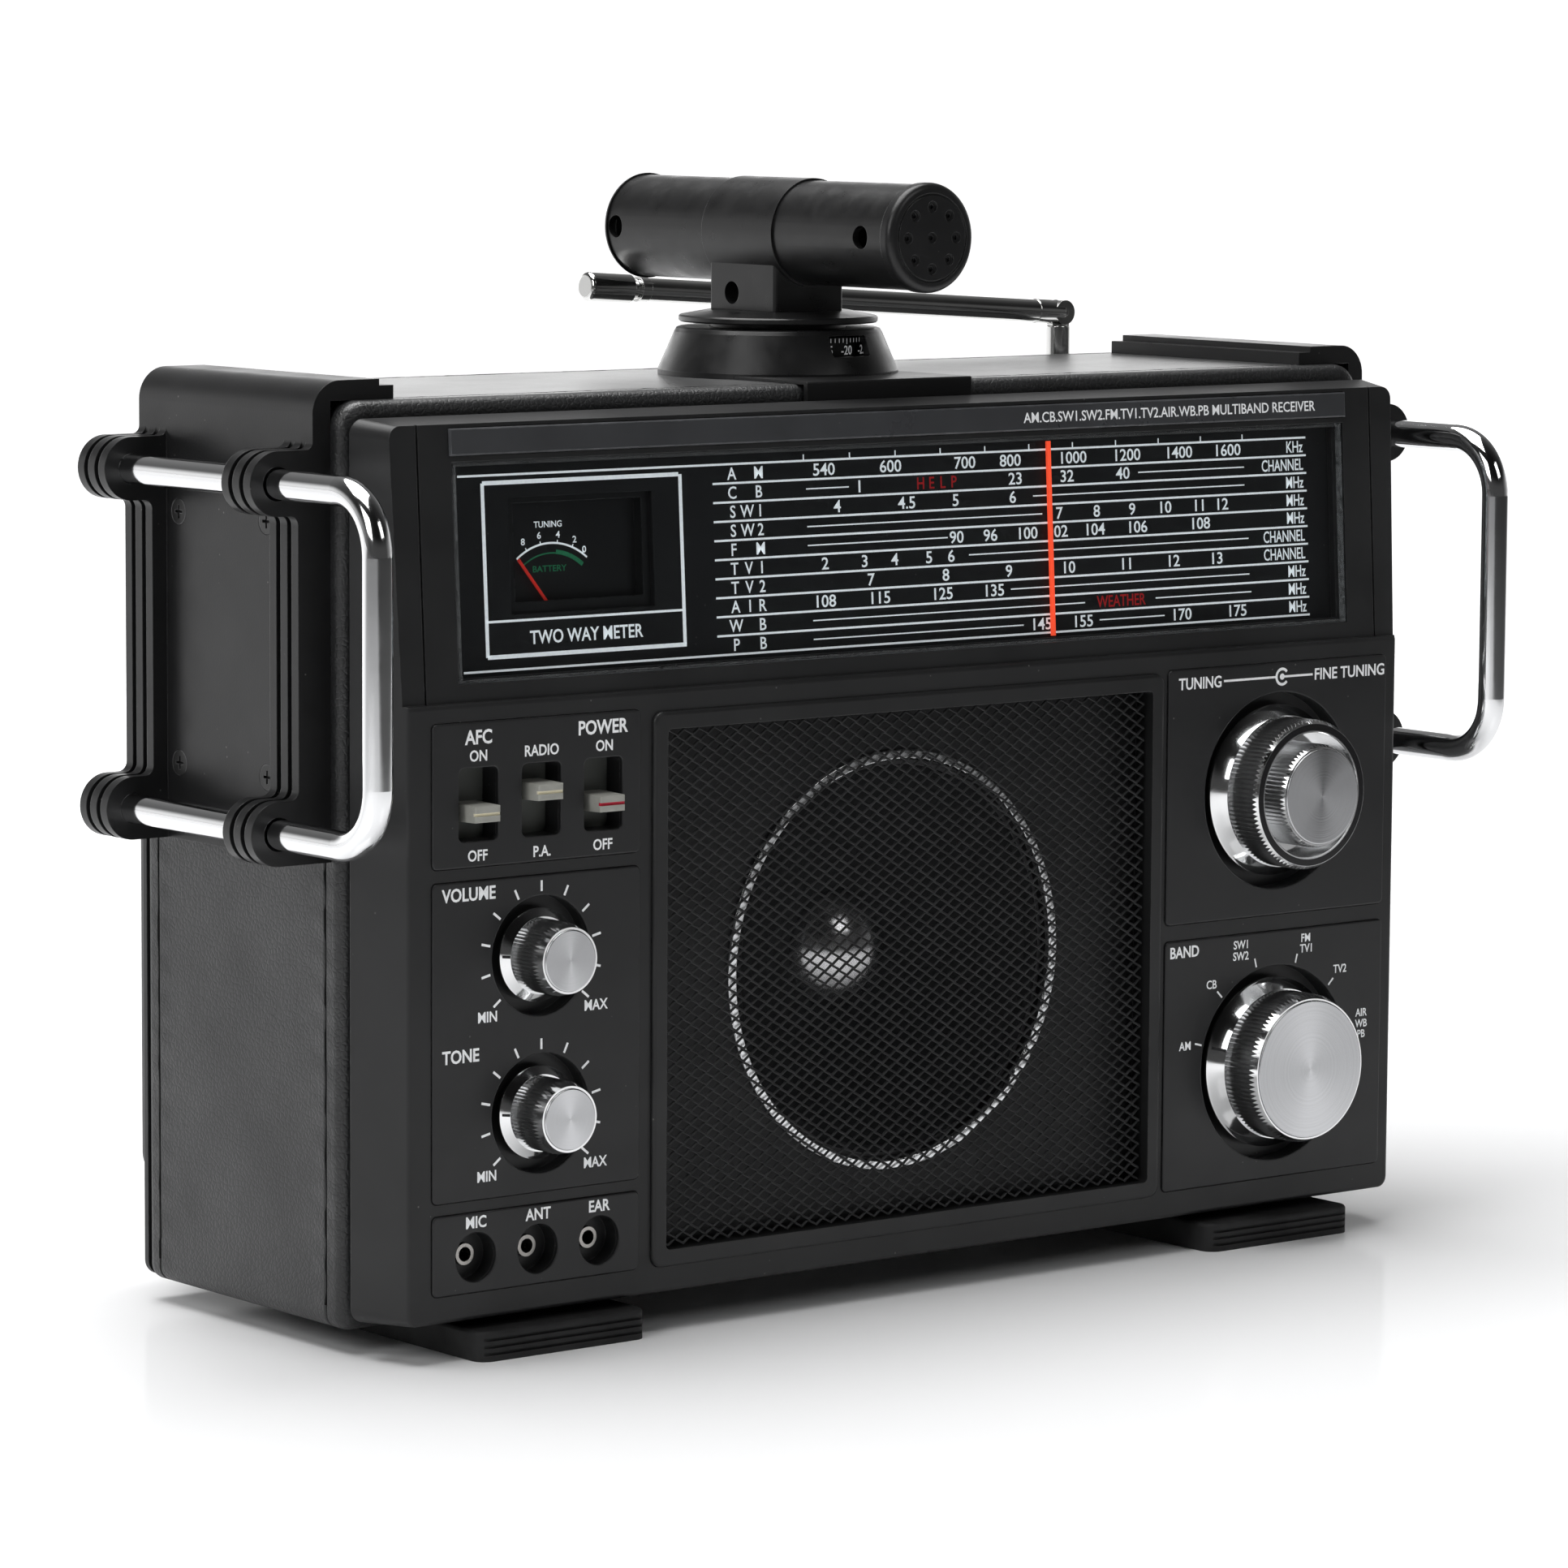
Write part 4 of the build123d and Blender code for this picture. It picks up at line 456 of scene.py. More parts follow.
def letters(words, bold):
    """Vertices and faces of a line of lettering, one em high, with its ink thickness in z."""
    if (words, bold) not in letter_cache:
        curve = bpy.data.curves.new("letters", "FONT")
        curve.body = words
        curve.offset = bold
        curve.extrude = LETTER_DEPTH
        curve.resolution_u = 3
        holder = bpy.data.objects.new("letters", curve)
        bpy.context.scene.collection.objects.link(holder)
        shape = bpy.data.meshes.new_from_object(holder.evaluated_get(bpy.context.evaluated_depsgraph_get()))
        verts = [tuple(v.co) for v in shape.vertices]
        faces = [list(p.vertices) for p in shape.polygons]
        bpy.data.objects.remove(holder)
        bpy.data.meshes.remove(shape)
        bpy.data.curves.remove(curve)
        letter_cache[(words, bold)] = verts, faces
    return letter_cache[(words, bold)]


CAP_RATIO = max(v[1] for v in letters("H", 0.0)[0])


def solid(name, verts, faces, material, body, smooth=False):
    """A mesh piece from millimetre vertices, riding on a CAD body."""
    mesh = bpy.data.meshes.new(name)
    mesh.from_pydata([Vector(v) * MM for v in verts], [], faces)
    mesh.validate()
    tidy = bmesh.new()
    tidy.from_mesh(mesh)
    bmesh.ops.recalc_face_normals(tidy, faces=tidy.faces)
    tidy.to_mesh(mesh)
    tidy.free()
    mesh.materials.append(material)
    mesh.shade_smooth() if smooth else mesh.shade_flat()
    piece = bpy.data.objects.new(name, mesh)
    bpy.context.scene.collection.objects.link(piece)
    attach(piece, body)
    return piece


class Print:
    """Printed marks gathered into one thin raised mesh; place(x, z, lift) maps the sheet on the object."""

    def __init__(self, place):
        self.place = place
        self.verts = []
        self.faces = []

    def add(self, verts, faces):
        start = len(self.verts)
        self.verts += [self.place(*v) for v in verts]
        self.faces += [[start + i for i in f] for f in faces]

    def text(self, words, x, z, cap, width=None, squeeze=0.8, bold=0.01, align=0.5):
        """A line of capitals of height cap, centred on z; align 0 starts at x, 0.5 centres, 1 ends there."""
        verts, faces = letters(words, bold)
        low, high = min(v[0] for v in verts), max(v[0] for v in verts)
        tall = cap / CAP_RATIO
        wide = width / (high - low) if width else tall * squeeze
        shift = low + (high - low) * align
        low_z, rise = z - cap / 2, INK_DEPTH / LETTER_DEPTH / 2
        placed = [(x + (a - shift) * wide, low_z + b * tall, INK_DEPTH / 2 + c * rise) for a, b, c in verts]
        self.add(placed, faces)

    def stroke(self, points, width):
        """A line of even width through the points."""
        left, right = [], []
        for i, (x, z) in enumerate(points):
            before, after = points[max(i - 1, 0)], points[min(i + 1, len(points) - 1)]
            run = Vector((after[0] - before[0], after[1] - before[1])).normalized() * width / 2
            left.append((x - run.y, z + run.x))
            right.append((x + run.y, z - run.x))
        outline = left + right[::-1]
        n, m = len(points), len(outline)
        verts = [(x, z, 0.0) for x, z in outline] + [(x, z, INK_DEPTH) for x, z in outline]
        faces = []
        for i in range(n - 1):
            quad = [i, i + 1, m - 2 - i, m - 1 - i]
            faces += [quad, [m + k for k in reversed(quad)]]
        faces += [[i, (i + 1) % m, m + (i + 1) % m, m + i] for i in range(m)]
        self.add(verts, faces)

    def line(self, x0, z0, x1, z1, width):
        self.stroke([(x0, z0), (x1, z1)], width)

    def arc(self, x, z, radius, start, end, width, steps=24):
        """Angles in degrees clockwise from the top."""
        turn = [math.radians(start + (end - start) * i / steps) for i in range(steps + 1)]
        self.stroke([(x + radius * math.sin(t), z + radius * math.cos(t)) for t in turn], width)

    def spoke(self, x, z, inner, outer, angle, width):
        t = math.radians(angle)
        s, c = math.sin(t), math.cos(t)
        self.line(x + inner * s, z + inner * c, x + outer * s, z + outer * c, width)

    def dot(self, x, z, radius):
        turn = [i * math.pi / 12 for i in range(24)]
        ring = [(x + radius * math.sin(t), z + radius * math.cos(t)) for t in turn]
        verts = [(a, b, 0.0) for a, b in ring] + [(a, b, INK_DEPTH) for a, b in ring]
        faces = [list(range(24)), list(range(47, 23, -1))]
        faces += [[i, (i + 1) % 24, 24 + (i + 1) % 24, 24 + i] for i in range(24)]
        self.add(verts, faces)

    def build(self, name, material, body):
        return solid(name, self.verts, self.faces, material, body)


LEAN = 0.06


def leaning(node, deeper=0.0):
    """Sheet that leans back with the dial, at the front of a node or deeper by some millimetres."""
    lo, _ = box_mm(node)
    return lambda x, z, lift: (x, lo.y + LEAN * (z - lo.z) + deeper - 0.02 - lift, z)


def upright(node, deeper=0.0):
    """Sheet on the front face of an upright plate."""
    lo, _ = box_mm(node)
    return lambda x, z, lift: (x, lo.y + deeper - 0.01 - lift, z)


# Dial scale: eleven border lines with ten rows between them
TOP_LINE = 217.9
ROW_PITCH = 4.807
LINE_LEFT, LINE_RIGHT, FRAME_LEFT = -64.6, 139.3, -143.4
ROW_CAP = 3.0
DIGITS = 1.12
DIAL_BOLD = 0.012
BORDER_LINE, DASH_LINE, METER_LINE = 0.55, 0.34, 1.05
UNIT_RIGHT = 138.2
UNIT_WIDTH = {"KHz": 6.0, "MHz": 6.4, "CHANNEL": 15.2}
dial = Print(leaning("dial_plate"))
dial_red = Print(leaning("dial_plate"))

# Band, dashes from x to x, numbers at x, unit
scale_rows = [
    ("AM", [], [("540", -28.5), ("600", -6.5), ("700", 18.5), ("800", 34), ("1000", 56), ("1200", 75),
                ("1400", 93.5), ("1600", 111)],
     "KHz"),
    ("CB", [(-34.5, -20.5), (78.5, 116.5)], [("1", -17), ("23", 35.5), ("32", 53.5), ("40", 73)],
     "CHANNEL"),
    ("SW1", [(41.5, 116.5)], [("4", -24.5), ("4.5", -1.5), ("5", 15), ("6", 34.5)], "MHz"),
    ("SW2", [(-34.5, 44.5)], [("7", 50.5), ("8", 63.5), ("9", 76), ("10", 88), ("11", 100), ("12", 108.5)],
     "MHz"),
    ("FM", [(-34.5, 12)], [("90", 15), ("96", 26.5), ("100", 39.5), ("102", 50), ("104", 63), ("106", 78),
                           ("108", 100.5)],
     "MHz"),
    ("TV1", [(19, 117.5)], [("2", -29), ("3", -16), ("4", -6), ("5", 5.5), ("6", 13)], "CHANNEL"),
    ("TV2", [], [("7", -14), ("8", 11), ("9", 32.5), ("10", 53.5), ("11", 73.5), ("12", 90.5), ("13", 106)],
     "CHANNEL"),
    ("AIR", [(33, 117.5)], [("108", -29), ("115", -11), ("125", 10), ("135", 27.5)], "MHz"),
    ("WB", [(-33.5, 58.5), (83.5, 118)], [], "MHz"),
    ("PB", [(-33.5, 37), (63.5, 86.5)], [("145", 43.5), ("155", 58), ("170", 93), ("175", 113)], "MHz"),
]
for i in range(len(scale_rows) + 1):
    z = TOP_LINE - ROW_PITCH * i
    left = FRAME_LEFT if i in (0, len(scale_rows)) else LINE_LEFT
    dial.line(left, z, LINE_RIGHT, z, BORDER_LINE)
for i, (band, dashes, numbers, unit) in enumerate(scale_rows):
    z = TOP_LINE - ROW_PITCH * (i + 0.5)
    places = [-58.4, -53.8, -49.6] if len(band) == 3 else [-58.4, -49.8]
    for letter, x in zip(band, places):
        dial.text(letter, x, z, ROW_CAP, squeeze=0.95, bold=DIAL_BOLD)
    for x0, x1 in dashes:
        dial.line(x0, z, x1, z, DASH_LINE)
    for words, x in numbers:
        dial.text(words, x, z, ROW_CAP, squeeze=DIGITS, bold=DIAL_BOLD)
    dial.text(unit, UNIT_RIGHT, z, ROW_CAP, width=UNIT_WIDTH[unit], bold=DIAL_BOLD, align=1.0)
FIRST_TICK, TICK_PITCH = -35.1, 15.12
for i in range(11):
    x = FIRST_TICK + TICK_PITCH * i
    dial.line(x, TOP_LINE, x, TOP_LINE + 1.6, 0.4)
for i, letter in enumerate("HELP"):
    dial_red.text(letter, 3.4 + 3.75 * i, TOP_LINE - ROW_PITCH * 1.5, ROW_CAP, squeeze=0.9)
dial_red.text("WEATHER", 71.3, TOP_LINE - ROW_PITCH * 8.5, ROW_CAP, width=17.2)

# Frame, divider and caption round the meter
METER_FRAME = (-136.0, -74.9, 173.2, 216.0)
x0, x1, z0, z1 = METER_FRAME
corners = [(x0, z0), (x1, z0), (x1, z1), (x0, z1)]
for (ax, az), (bx, bz) in zip(corners, corners[1:] + corners[:1]):
    dial.line(ax - 0.5 * (bx < ax), az, bx + 0.5 * (bx > ax), bz, METER_LINE)
dial.line(x0, 181.9, x1, 181.9, 0.6)
dial.text("TWO WAY METER", -105.5, 177.5, 3.2, width=35.0, bold=0.016)
dial.build("dial_print", DIAL_WHITE, "case")
dial_red.build("dial_print_red", RED, "case")

# Meter face, behind the needle
PIVOT = (-112.5, 182.8)
meter = Print(leaning("dial_plate", 4.5))
meter_green = Print(leaning("dial_plate", 4.5))
SWING = (-37.6, 39.8)
METER_ARC = 17.3
meter.arc(*PIVOT, METER_ARC, *SWING, 0.5)
for words, x, z in [
    ("8", -121.0, 200.7), ("6", -116.0, 202.1), ("4", -110.2, 202.1), ("2", -105.1, 200.7),
    ("0", -102.2, 198.1),
]:
    meter.text(words, x, z, 1.6, squeeze=1.1, bold=0.015)
    turn = math.degrees(math.atan2(x - PIVOT[0], z - PIVOT[1]))
    meter.spoke(*PIVOT, METER_ARC, METER_ARC + 0.8, turn, 0.28)
meter.text("TUNING", -113.2, 204.8, 1.5, width=8.6, bold=0.012)
GREEN_FROM = 6.0
meter_green.arc(*PIVOT, 14.8, SWING[0], GREEN_FROM, 0.35)
meter_green.arc(*PIVOT, 15.1, GREEN_FROM, SWING[1], 1.1)
meter_green.text("BATTERY", -113.0, 193.8, 1.5, width=10.4, bold=0.012)
meter.build("meter_print", DIAL_WHITE, "case")
meter_green.build("meter_print_green", GREEN, "case")

# Title strip
title = Print(leaning("title_strip"))
strip_lo, strip_hi = box_mm("title_strip")
BANDS = "AM.CB.SW1.SW2.FM.TV1.TV2.AIR.WB.PB"
title_z = (strip_lo.z + strip_hi.z) / 2 + 0.1
title.text(f"{BANDS} MULTIBAND RECEIVER", 137.8, title_z, 2.6, width=103.7, bold=0.01, align=1.0)
title.build("title_print", WHITE, "case")

# Control panel labels
labels = Print(upright("switch_plate"))
for words, x, z, cap, bold in [
    ("AFC", -144.6, 154.9, 3.2, 0.02), ("ON", -144.6, 150.3, 2.5, 0.016), ("OFF", -144.8, 125.7, 2.5, 0.016),
    ("RADIO", -125.4, 150.5, 2.5, 0.016), ("P.A.", -125.3, 125.4, 2.5, 0.016),
    ("POWER", -106.5, 155.1, 3.2, 0.02), ("ON", -106.2, 150.4, 2.5, 0.016), ("OFF", -106.6, 125.7, 2.5, 0.016),
    ("VOLUME", -147.5, 116.3, 3.0, 0.02), ("TONE", -149.9, 76.3, 3.0, 0.02),
    ("MIN", -141.8, 85.4, 2.45, 0.016), ("MAX", -108.5, 85.6, 2.45, 0.016),
    ("MIN", -142.0, 45.7, 2.45, 0.016), ("MAX", -108.6, 45.9, 2.45, 0.016),
    ("MIC", -145.2, 34.6, 2.7, 0.018), ("ANT", -126.3, 34.6, 2.7, 0.018), ("EAR", -107.3, 34.6, 2.7, 0.018),
    ("BAND", 88.2, 82.1, 2.8, 0.018), ("AM", 88.7, 56.5, 2.15, 0.012), ("CB", 98.1, 72.4, 2.15, 0.012),
    ("SW1", 108.5, 82.4, 2.1, 0.012), ("SW2", 108.6, 79.3, 2.1, 0.012), ("FM", 132.4, 82.4, 2.1, 0.012),
    ("TV1", 132.5, 79.5, 2.1, 0.012), ("TV2", 145.3, 72.8, 2.1, 0.012), ("AIR", 153.6, 59.9, 2.0, 0.012),
    ("WB", 153.6, 56.9, 2.0, 0.012), ("PB", 153.7, 54.0, 2.0, 0.012),
]:
    labels.text(words, x, z, cap * 1.04, squeeze=0.9, bold=bold + 0.004)
TUNING_ROW, SYMBOL_X = 154.4, 122.2
labels.text("TUNING", 84.8, TUNING_ROW, 3.0, width=15.3, bold=0.018, align=0.0)
labels.text("FINE TUNING", 134.2, TUNING_ROW, 3.0, width=25.9, bold=0.018, align=0.0)
labels.line(101.0, TUNING_ROW, SYMBOL_X - 2.0, TUNING_ROW, 0.6)
labels.line(SYMBOL_X + 0.2, TUNING_ROW, 133.4, TUNING_ROW, 0.6)
labels.arc(SYMBOL_X, TUNING_ROW, 2.1, 128, 412, 0.75)
labels.dot(SYMBOL_X, TUNING_ROW, 0.85)
SMALL_SWEEP = 257.6
for node in ("volume_knob", "tone_knob"):
    axis = middle(node)
    for i in range(11):
        labels.spoke(axis.x, axis.z, 16.0, 18.7, SMALL_SWEEP * (i / 10 - 0.5), 0.62)
band_axis = middle("band_knob")
for i in range(6):
    labels.spoke(band_axis.x, band_axis.z, 27.7, 30.2, -75 + 30 * i, 0.5)
labels.build("panel_print", WHITE, "case")


# ---------------------------------------------------------------------------
# Knurled knobs: the front chamfer cuts across the teeth
# ---------------------------------------------------------------------------
def knurled(node, body, teeth, tip, root, back, chamfer, base, crown):
    """Solid of revolution with a toothed grip. Profile points are (radius, depth behind the panel);
    chamfer is the two ends of the sloping front edge, base the skirt, crown the front inwards."""
    axis = middle(node)
    (r0, d0), (r1, d1) = chamfer
    verts = []
    for k in range(2 * teeth):
        t = math.pi * k / teeth
        grip = tip if k % 2 == 0 else root
        cut = d0 + (r0 - grip) * (d1 - d0) / (r0 - r1)
        for r, d in base + [(grip, back), (grip, cut), (r1, d1)] + crown:
            verts.append((axis.x + r * math.sin(t), PANEL_Y + d, axis.z + r * math.cos(t)))
    rows = len(verts) // (2 * teeth)
    faces = []
    for k in range(2 * teeth):
        a, b = k * rows, (k + 1) % (2 * teeth) * rows
        faces += [[a + i, a + (i + 1) % rows, b + (i + 1) % rows, b + i] for i in range(rows)]
    piece = solid(node + "_knurled", verts, faces, finishes[node], body, smooth=True)
    piece.data.set_sharp_from_angle(angle=math.radians(24))
    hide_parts(node)


SMALL_SKIRT = [(3.1, 1.7), (11.45, 1.7), (11.75, 1.4), (11.75, 0.7), (11.3, 0.4), (9.7, -1.0)]
LARGE_SKIRT = [(3.1, 2.2), (23.0, 2.2), (23.3, 1.9), (23.3, 1.2), (22.8, 0.8)]
for node, body in (("volume_knob", "volume"), ("tone_knob", "tone")):
    knurled(
        node, body, 56, 9.2, 8.65, -1.0, ((9.2, -9.2), (8.3, -12.5)), SMALL_SKIRT,
        [(7.75, -12.5), (7.75, -12.05), (3.1, -12.05)],
    )
knurled(
    "tuning_knob", "tuning", 96, 20.3, 19.6, -2.7, ((20.3, -12.2), (19.3, -13.6)),
    LARGE_SKIRT + [(20.6, -2.7)], [(17.1, -13.6), (16.9, -13.4), (16.9, -7.2), (3.1, -7.2)],
)
knurled(
    "fine_tuning_knob", "fine_tuning", 72, 14.0, 13.42, -7.5, ((14.0, -16.2), (13.4, -17.6)),
    [(3.1, -7.5)], [(12.95, -17.6), (12.95, -17.15), (3.1, -17.15)],
)
knurled(
    "band_knob", "band", 96, 20.2, 19.5, -3.0, ((20.2, -12.3), (19.2, -14.6)),
    LARGE_SKIRT + [(20.5, -3.0)], [(18.75, -14.6), (18.75, -14.15), (3.1, -14.15)],
)


# Pointer marks on the skirts of the knobs
def skirt_mark(name, node, body, angle, inner, outer, front, width=0.55, lift=0.03):
    """A straight mark down a cone: inner and outer are (radius, millimetres behind the knob's front)."""
    axis = middle(node)
    y0 = box_mm(node)[0].y
    t = math.radians(angle)
    out = Vector((math.sin(t), 0, math.cos(t)))
    side = Vector((math.cos(t), 0, -math.sin(t))) * width / 2
    low = Vector((axis.x, y0 + inner[1], axis.z)) + out * inner[0]
    high = Vector((axis.x, y0 + outer[1], axis.z)) + out * outer[0]
    normal = (high - low).cross(side).normalized() * lift
    if normal.y > 0:
        normal = -normal
    base = [low - side, high - side, high + side, low + side]
    verts = [p - normal * 0.5 for p in base] + [p + normal for p in base]
    faces = [[0, 1, 2, 3], [7, 6, 5, 4], [0, 4, 5, 1], [1, 5, 6, 2], [2, 6, 7, 3], [3, 7, 4, 0]]
    return solid(name, verts, faces, front, body)


for node, body, angle in (("volume_knob", "volume", -88.0), ("tone_knob", "tone", -88.0)):
    skirt_mark(body + "_mark", node, body, angle, (9.75, 11.5), (11.25, 12.87), THREAD, 0.7)
skirt_mark("band_mark", "band_knob", "band", -75.0, (20.6, 11.7), (22.7, 15.3), THREAD, 0.8)

# Degree ring under the turning antenna, read through the window in its cone
drum_lo, drum_hi = box_mm("antenna_turntable")
drum_mid = (drum_lo + drum_hi) / 2
DRUM_R = 24.5
RING_LABELS = 22
RING_PITCH = 2 * math.pi / RING_LABELS
RING_START = 0.16  # turn of the first label, in radians
LABEL_Z, TICK_TOP = 243.7, drum_hi.z - 6.7


def on_drum(x, z, lift):
    t = x / DRUM_R
    r = DRUM_R + 0.01 + lift
    return (drum_mid.x + r * math.sin(t), drum_mid.y - r * math.cos(t), z)


ring = Print(on_drum)
for i in range(RING_LABELS):
    x = DRUM_R * (i * RING_PITCH + RING_START)
    value = -20 - 5 * i if i <= RING_LABELS // 2 else -20 + 5 * (RING_LABELS - i)
    ring.text(f"{value}", x, LABEL_Z, 2.3, squeeze=0.95, bold=0.008)
    for k in range(5):
        tick = x + DRUM_R * RING_PITCH * k / 5
        ring.line(tick, TICK_TOP, tick, TICK_TOP - (1.5 if k == 0 else 1.1), 0.2)
ring.build("degree_print", WHITE, "direction_antenna")

# ---------------------------------------------------------------------------
# Speaker mesh: expanded metal, one slanted zigzag strand above another
# ---------------------------------------------------------------------------
mesh_lo, mesh_hi = box_mm("speaker_mesh")
DIAMOND_W, DIAMOND_H = 4.8, 3.2
STRAND_W, STRAND_T = 0.62, 0.5
verts, faces = [], []
columns = int((mesh_hi.x - mesh_lo.x) / (DIAMOND_W / 2)) + 1
rows = int((mesh_hi.z - mesh_lo.z - 1.2) / (DIAMOND_H / 2)) + 1
mid_y = (mesh_lo.y + mesh_hi.y) / 2
base_z = (mesh_lo.z + mesh_hi.z - (rows - 1) * DIAMOND_H / 2) / 2
SECTION = [(-0.5, 0.0), (-0.32, -0.5), (0.32, -0.5), (0.5, 0.0), (0.32, 0.5), (-0.32, 0.5)]
for j in range(rows):
    start = len(verts)
    for k in range(columns):
        up = 1 if (j + k) % 2 == 0 else -1
        x = min(mesh_lo.x + 0.05 + k * DIAMOND_W / 2, mesh_hi.x - 0.05)
        z = base_z + j * DIAMOND_H / 2 + up * DIAMOND_H / 4.6
        y = mid_y + up * 0.26 + rng.uniform(-0.02, 0.02)
        for dz, dy in SECTION:
            verts.append((x, y + dy * STRAND_T + dz * 0.25, z + dz * STRAND_W * 1.25))
    for k in range(columns - 1):
        a, b = start + 6 * k, start + 6 * (k + 1)
        faces += [[a + i, a + (i + 1) % 6, b + (i + 1) % 6, b + i] for i in range(6)]
    last = start + 6 * (columns - 1)
    faces += [[start + i for i in range(5, -1, -1)], [last + i for i in range(6)]]
grille = solid("expanded_mesh", verts, faces, MESH, "case")
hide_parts("speaker_mesh")


# ---------------------------------------------------------------------------
# Seams: a wandering dark cord at each joint of the cover, fine thread along the top roll
# ---------------------------------------------------------------------------
def threads(name, runs, radius, material):
    """Round threads through lists of points."""
    curve = bpy.data.curves.new(name, "CURVE")
    curve.dimensions = "3D"
    curve.bevel_depth = radius * MM
    curve.bevel_resolution = 1
    curve.use_fill_caps = True
    for points in runs:
        spline = curve.splines.new("POLY")
        spline.points.add(len(points) - 1)
        for point, place in zip(spline.points, points):
            point.co = (*(Vector(place) * MM), 1.0)
    holder = bpy.data.objects.new(name, curve)
    bpy.context.scene.collection.objects.link(holder)
    shape = bpy.data.meshes.new_from_object(holder.evaluated_get(bpy.context.evaluated_depsgraph_get()))
    bpy.data.objects.remove(holder)
    shape.materials.clear()
    shape.materials.append(material)
    shape.shade_smooth()
    piece = bpy.data.objects.new(name, shape)
    bpy.context.scene.collection.objects.link(piece)
    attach(piece, "case")
    return piece


def wander(start, end, swing, out):
    """Points from start to end with a kink every centimetre or so; swing is the sideways direction."""
    start, end, swing, out = Vector(start), Vector(end), Vector(swing), Vector(out)
    length = (end - start).length
    along = (end - start) / length
    points, s = [], 0.0
    while s < length:
        shift = rng.uniform(0.15, 0.5) * (1 if len(points) % 4 < 2 else -1)
        points.append(start + along * s + swing * shift - out * rng.uniform(0.28, 0.42))
        s += rng.choice((1.6, 4.2, 5.4))
    points.append(end - out * 0.34)
    return points


CORD_RADIUS, THREAD_RADIUS = 0.42, 0.13
CORNER = 8.5
case_lo, case_hi = box_mm("cabinet_sleeve")
for label, seam in (("front", PANEL_Y + SEAM_FRONT), ("rear", PANEL_Y + SEAM_REAR)):
    runs = []
    for side, x in ((-1, case_lo.x), (1, case_hi.x)):
        runs.append(wander((x, seam, case_lo.z + 6), (x, seam, case_hi.z - CORNER), (0, 1, 0), (side, 0, 0)))
    left, right = case_lo.x + CORNER, case_hi.x - CORNER
    runs.append(wander((left, seam, case_hi.z), (right, seam, case_hi.z), (0, 1, 0), (0, 0, 1)))
    threads(f"seam_cord_{label}", runs, CORD_RADIUS, CORD)

roll_lo, roll_hi = box_mm("edge_piping")
ROLL_STITCH = 1.9
runs = []
for i in range(int((roll_hi.x - roll_lo.x - 24) / ROLL_STITCH)):
    x = roll_lo.x + 12 + ROLL_STITCH * (i + 0.5) + rng.uniform(-0.12, 0.12)
    y = roll_lo.y + 5.4 + rng.uniform(-0.1, 0.1)
    dip, crown = roll_hi.z - 0.14, roll_hi.z - 0.02
    runs.append([(x - 0.45, y - 0.55, dip), (x, y, crown), (x + 0.45, y + 0.55, dip)])
threads("roll_stitches", runs, THREAD_RADIUS, THREAD_GREY)

# ---------------------------------------------------------------------------
# Studio
# ---------------------------------------------------------------------------
scene = bpy.context.scene
scene.view_settings.view_transform = "Standard"
scene.view_settings.look = "None"

# The floor is pale, with painted shade darkening it towards the front right, and glows into the white
# background behind
floor_shade = Shade("studio_floor")
away = floor_shade.maths(
    "ADD", floor_shade.maths("MULTIPLY", floor_shade.axis("Y"), -0.8),
    floor_shade.maths("MULTIPLY", floor_shade.axis("X"), 0.5),
)
# painted shade: the floor colour darkens towards the front right, where the room is dark
painted_floor_shade = floor_shade.span(away, 0.6, 1.15, smooth=True)
tone = floor_shade.blend(painted_floor_shade, (0.93, 0.932, 0.938), (0.14, 0.14, 0.14))
mottle = floor_shade.span(floor_shade.noise(400, 2), 0.3, 0.7, 0.0, 0.02)
tone = floor_shade.blend(mottle, tone, (0.75, 0.75, 0.75))
matt = floor_shade.node("ShaderNodeBsdfDiffuse", {"Color": tone})
sheen = floor_shade.node("ShaderNodeBsdfGlossy", {"Color": (1, 1, 1), "Roughness": 0.12})
mixed = floor_shade.node("ShaderNodeMixShader", {0: 0.05, 1: matt.outputs[0], 2: sheen.outputs[0]})
behind = floor_shade.maths(
    "ADD", floor_shade.maths("MULTIPLY", floor_shade.axis("Y"), 0.95),
    floor_shade.maths("MULTIPLY", floor_shade.axis("X"), 0.28),
)
glow = floor_shade.span(behind, 0.2, 1.7, 0.0, 0.9, smooth=True)
fill = floor_shade.node("ShaderNodeEmission", {"Color": (1, 1, 1), "Strength": glow})
lit = floor_shade.node("ShaderNodeAddShader", {0: mixed.outputs[0], 1: fill.outputs[0]})
floor_shade.tree.links.new(lit.outputs[0], floor_shade.out.inputs["Surface"])
FLOOR_RADIUS = 14.0
disc = bpy.data.meshes.new("floor")
bm = bmesh.new()
bmesh.ops.create_circle(bm, cap_ends=True, segments=96, radius=FLOOR_RADIUS)
bm.to_mesh(disc)
bm.free()
disc.materials.append(floor_shade.mat)
floor = bpy.data.objects.new("floor", disc)
scene.collection.objects.link(floor)

# Bright sweep behind the set, dark room in front of it and overhead
BACK_GLOW, CEILING = 2.0, 0.1
SKY_STOPS = ((0.3, 0.028), (0.5, 0.1), (0.7, 0.3), (0.86, 0.72), (0.94, 1.0))
world = bpy.data.worlds.new("studio")
world.use_nodes = True
tree = world.node_tree
tree.nodes.clear()
direction = tree.nodes.new("ShaderNodeTexCoord").outputs["Generated"]
toward = tree.nodes.new("ShaderNodeVectorMath")
toward.operation = "DOT_PRODUCT"
toward.inputs[1].default_value = Vector((0.45, 0.88, 0.12)).normalized()
tree.links.new(direction, toward.inputs[0])
half = tree.nodes.new("ShaderNodeMath")
half.operation = "MULTIPLY_ADD"
half.inputs[1].default_value = half.inputs[2].default_value = 0.5
tree.links.new(toward.outputs["Value"], half.inputs[0])
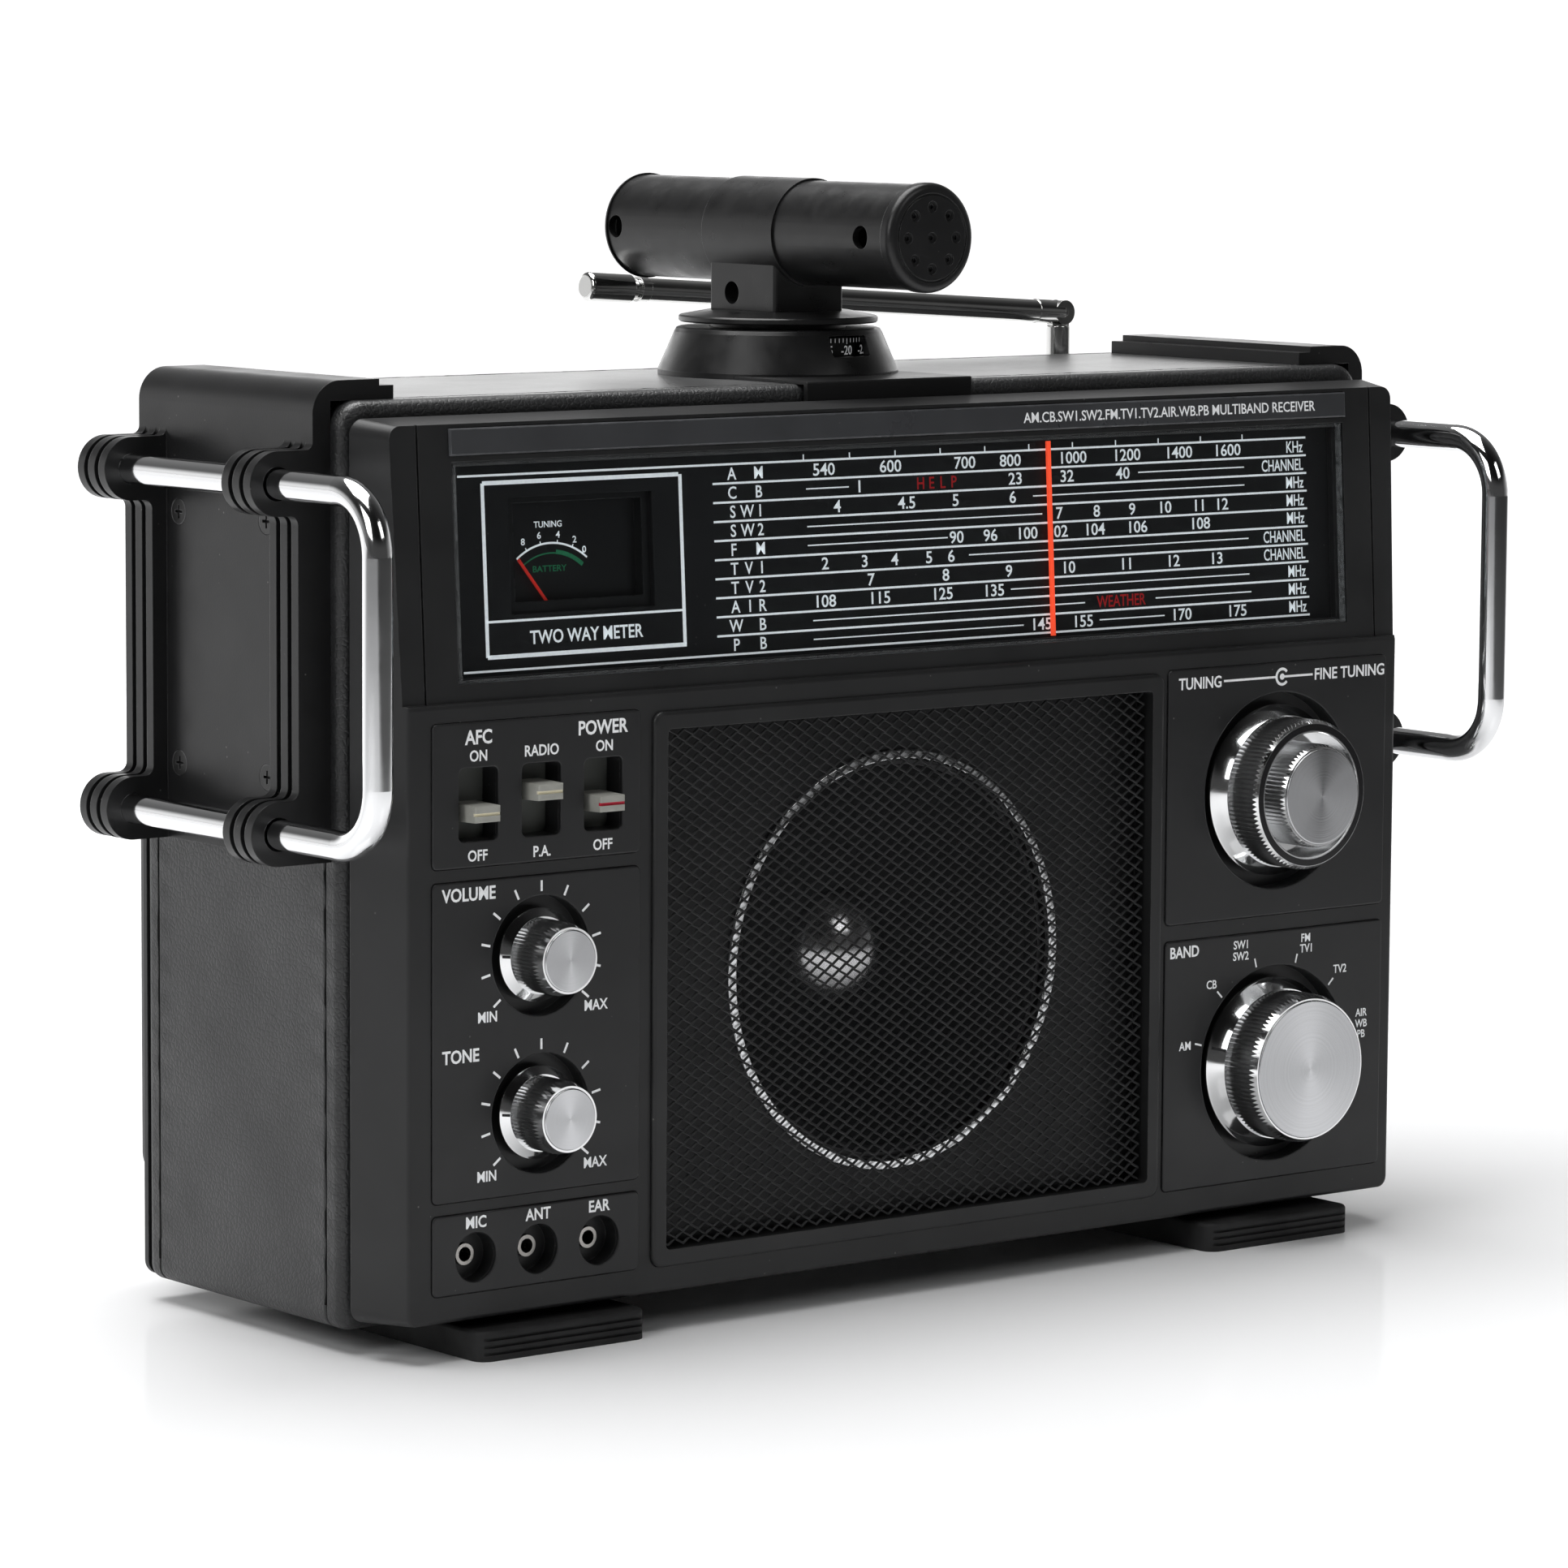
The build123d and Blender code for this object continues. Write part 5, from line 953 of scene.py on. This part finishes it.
level = tree.nodes.new("ShaderNodeValToRGB")
stops = level.color_ramp.elements
while len(stops) < len(SKY_STOPS):
    stops.new(0.5)
for stop, (place, value) in zip(stops, SKY_STOPS):
    stop.position = place
    stop.color = (value, value, value, 1.0)
tree.links.new(half.outputs[0], level.inputs[0])
sky = tree.nodes.new("ShaderNodeBackground")
height = tree.nodes.new("ShaderNodeSeparateXYZ")
tree.links.new(direction, height.inputs[0])
ceiling = tree.nodes.new("ShaderNodeMapRange")
ceiling.interpolation_type = "SMOOTHSTEP"
fade = {"From Min": 0.12, "From Max": 0.42, "To Min": BACK_GLOW, "To Max": CEILING * BACK_GLOW}
for key, value in fade.items():
    ceiling.inputs[key].default_value = value
tree.links.new(height.outputs["Z"], ceiling.inputs["Value"])
tree.links.new(ceiling.outputs[0], sky.inputs["Strength"])
tree.links.new(level.outputs[0], sky.inputs["Color"])
tree.links.new(sky.outputs[0], tree.nodes.new("ShaderNodeOutputWorld").inputs["Surface"])
scene.world = world


def softbox(name, place, aim, size, radiance):
    """A square studio light whose brightness is given as the radiance of its front."""
    data = bpy.data.lights.new(name, "AREA")
    data.shape = "RECTANGLE"
    data.size, data.size_y = size
    data.energy = radiance * math.pi * size[0] * size[1]
    light = bpy.data.objects.new(name, data)
    light.location = place
    light.rotation_mode = "QUATERNION"
    light.rotation_quaternion = (Vector(aim) - Vector(place)).to_track_quat("-Z", "Y")
    scene.collection.objects.link(light)
    return light


AIM = (0.0, 0.0, 0.14)
softbox("top_box", (-0.15, 0.3, 1.7), AIM, (1.8, 1.3), 5.4)
softbox("left_box", (-1.5, -0.35, 0.95), AIM, (0.8, 0.8), 3.4)
softbox("front_box", (0.5, -1.9, 1.5), AIM, (0.9, 0.9), 1.9)

# Camera at the photograph's angle: place, heading, pitch down and roll
CAMERA_PLACE = Vector((-1.0518, -1.3241, 0.3267))
HEADING, PITCH, ROLL = math.radians(38.374), math.radians(6.705), math.radians(0.362)
look = Vector((math.sin(HEADING) * math.cos(PITCH), math.cos(HEADING) * math.cos(PITCH), -math.sin(PITCH)))
flat = Vector((math.cos(HEADING), -math.sin(HEADING), 0.0))
over = flat.cross(look)
right = flat * math.cos(ROLL) + over * math.sin(ROLL)
above = over * math.cos(ROLL) - flat * math.sin(ROLL)
FOCAL_LENGTH = 147.0
lens = bpy.data.cameras.new("camera")
lens.lens = FOCAL_LENGTH
lens.sensor_width = 36.0
lens.clip_end = 60.0
camera = bpy.data.objects.new("camera", lens)
camera.matrix_world = Matrix((
    (right.x, above.x, -look.x, CAMERA_PLACE.x),
    (right.y, above.y, -look.y, CAMERA_PLACE.y),
    (right.z, above.z, -look.z, CAMERA_PLACE.z),
    (0.0, 0.0, 0.0, 1.0),
))
scene.collection.objects.link(camera)
scene.camera = camera
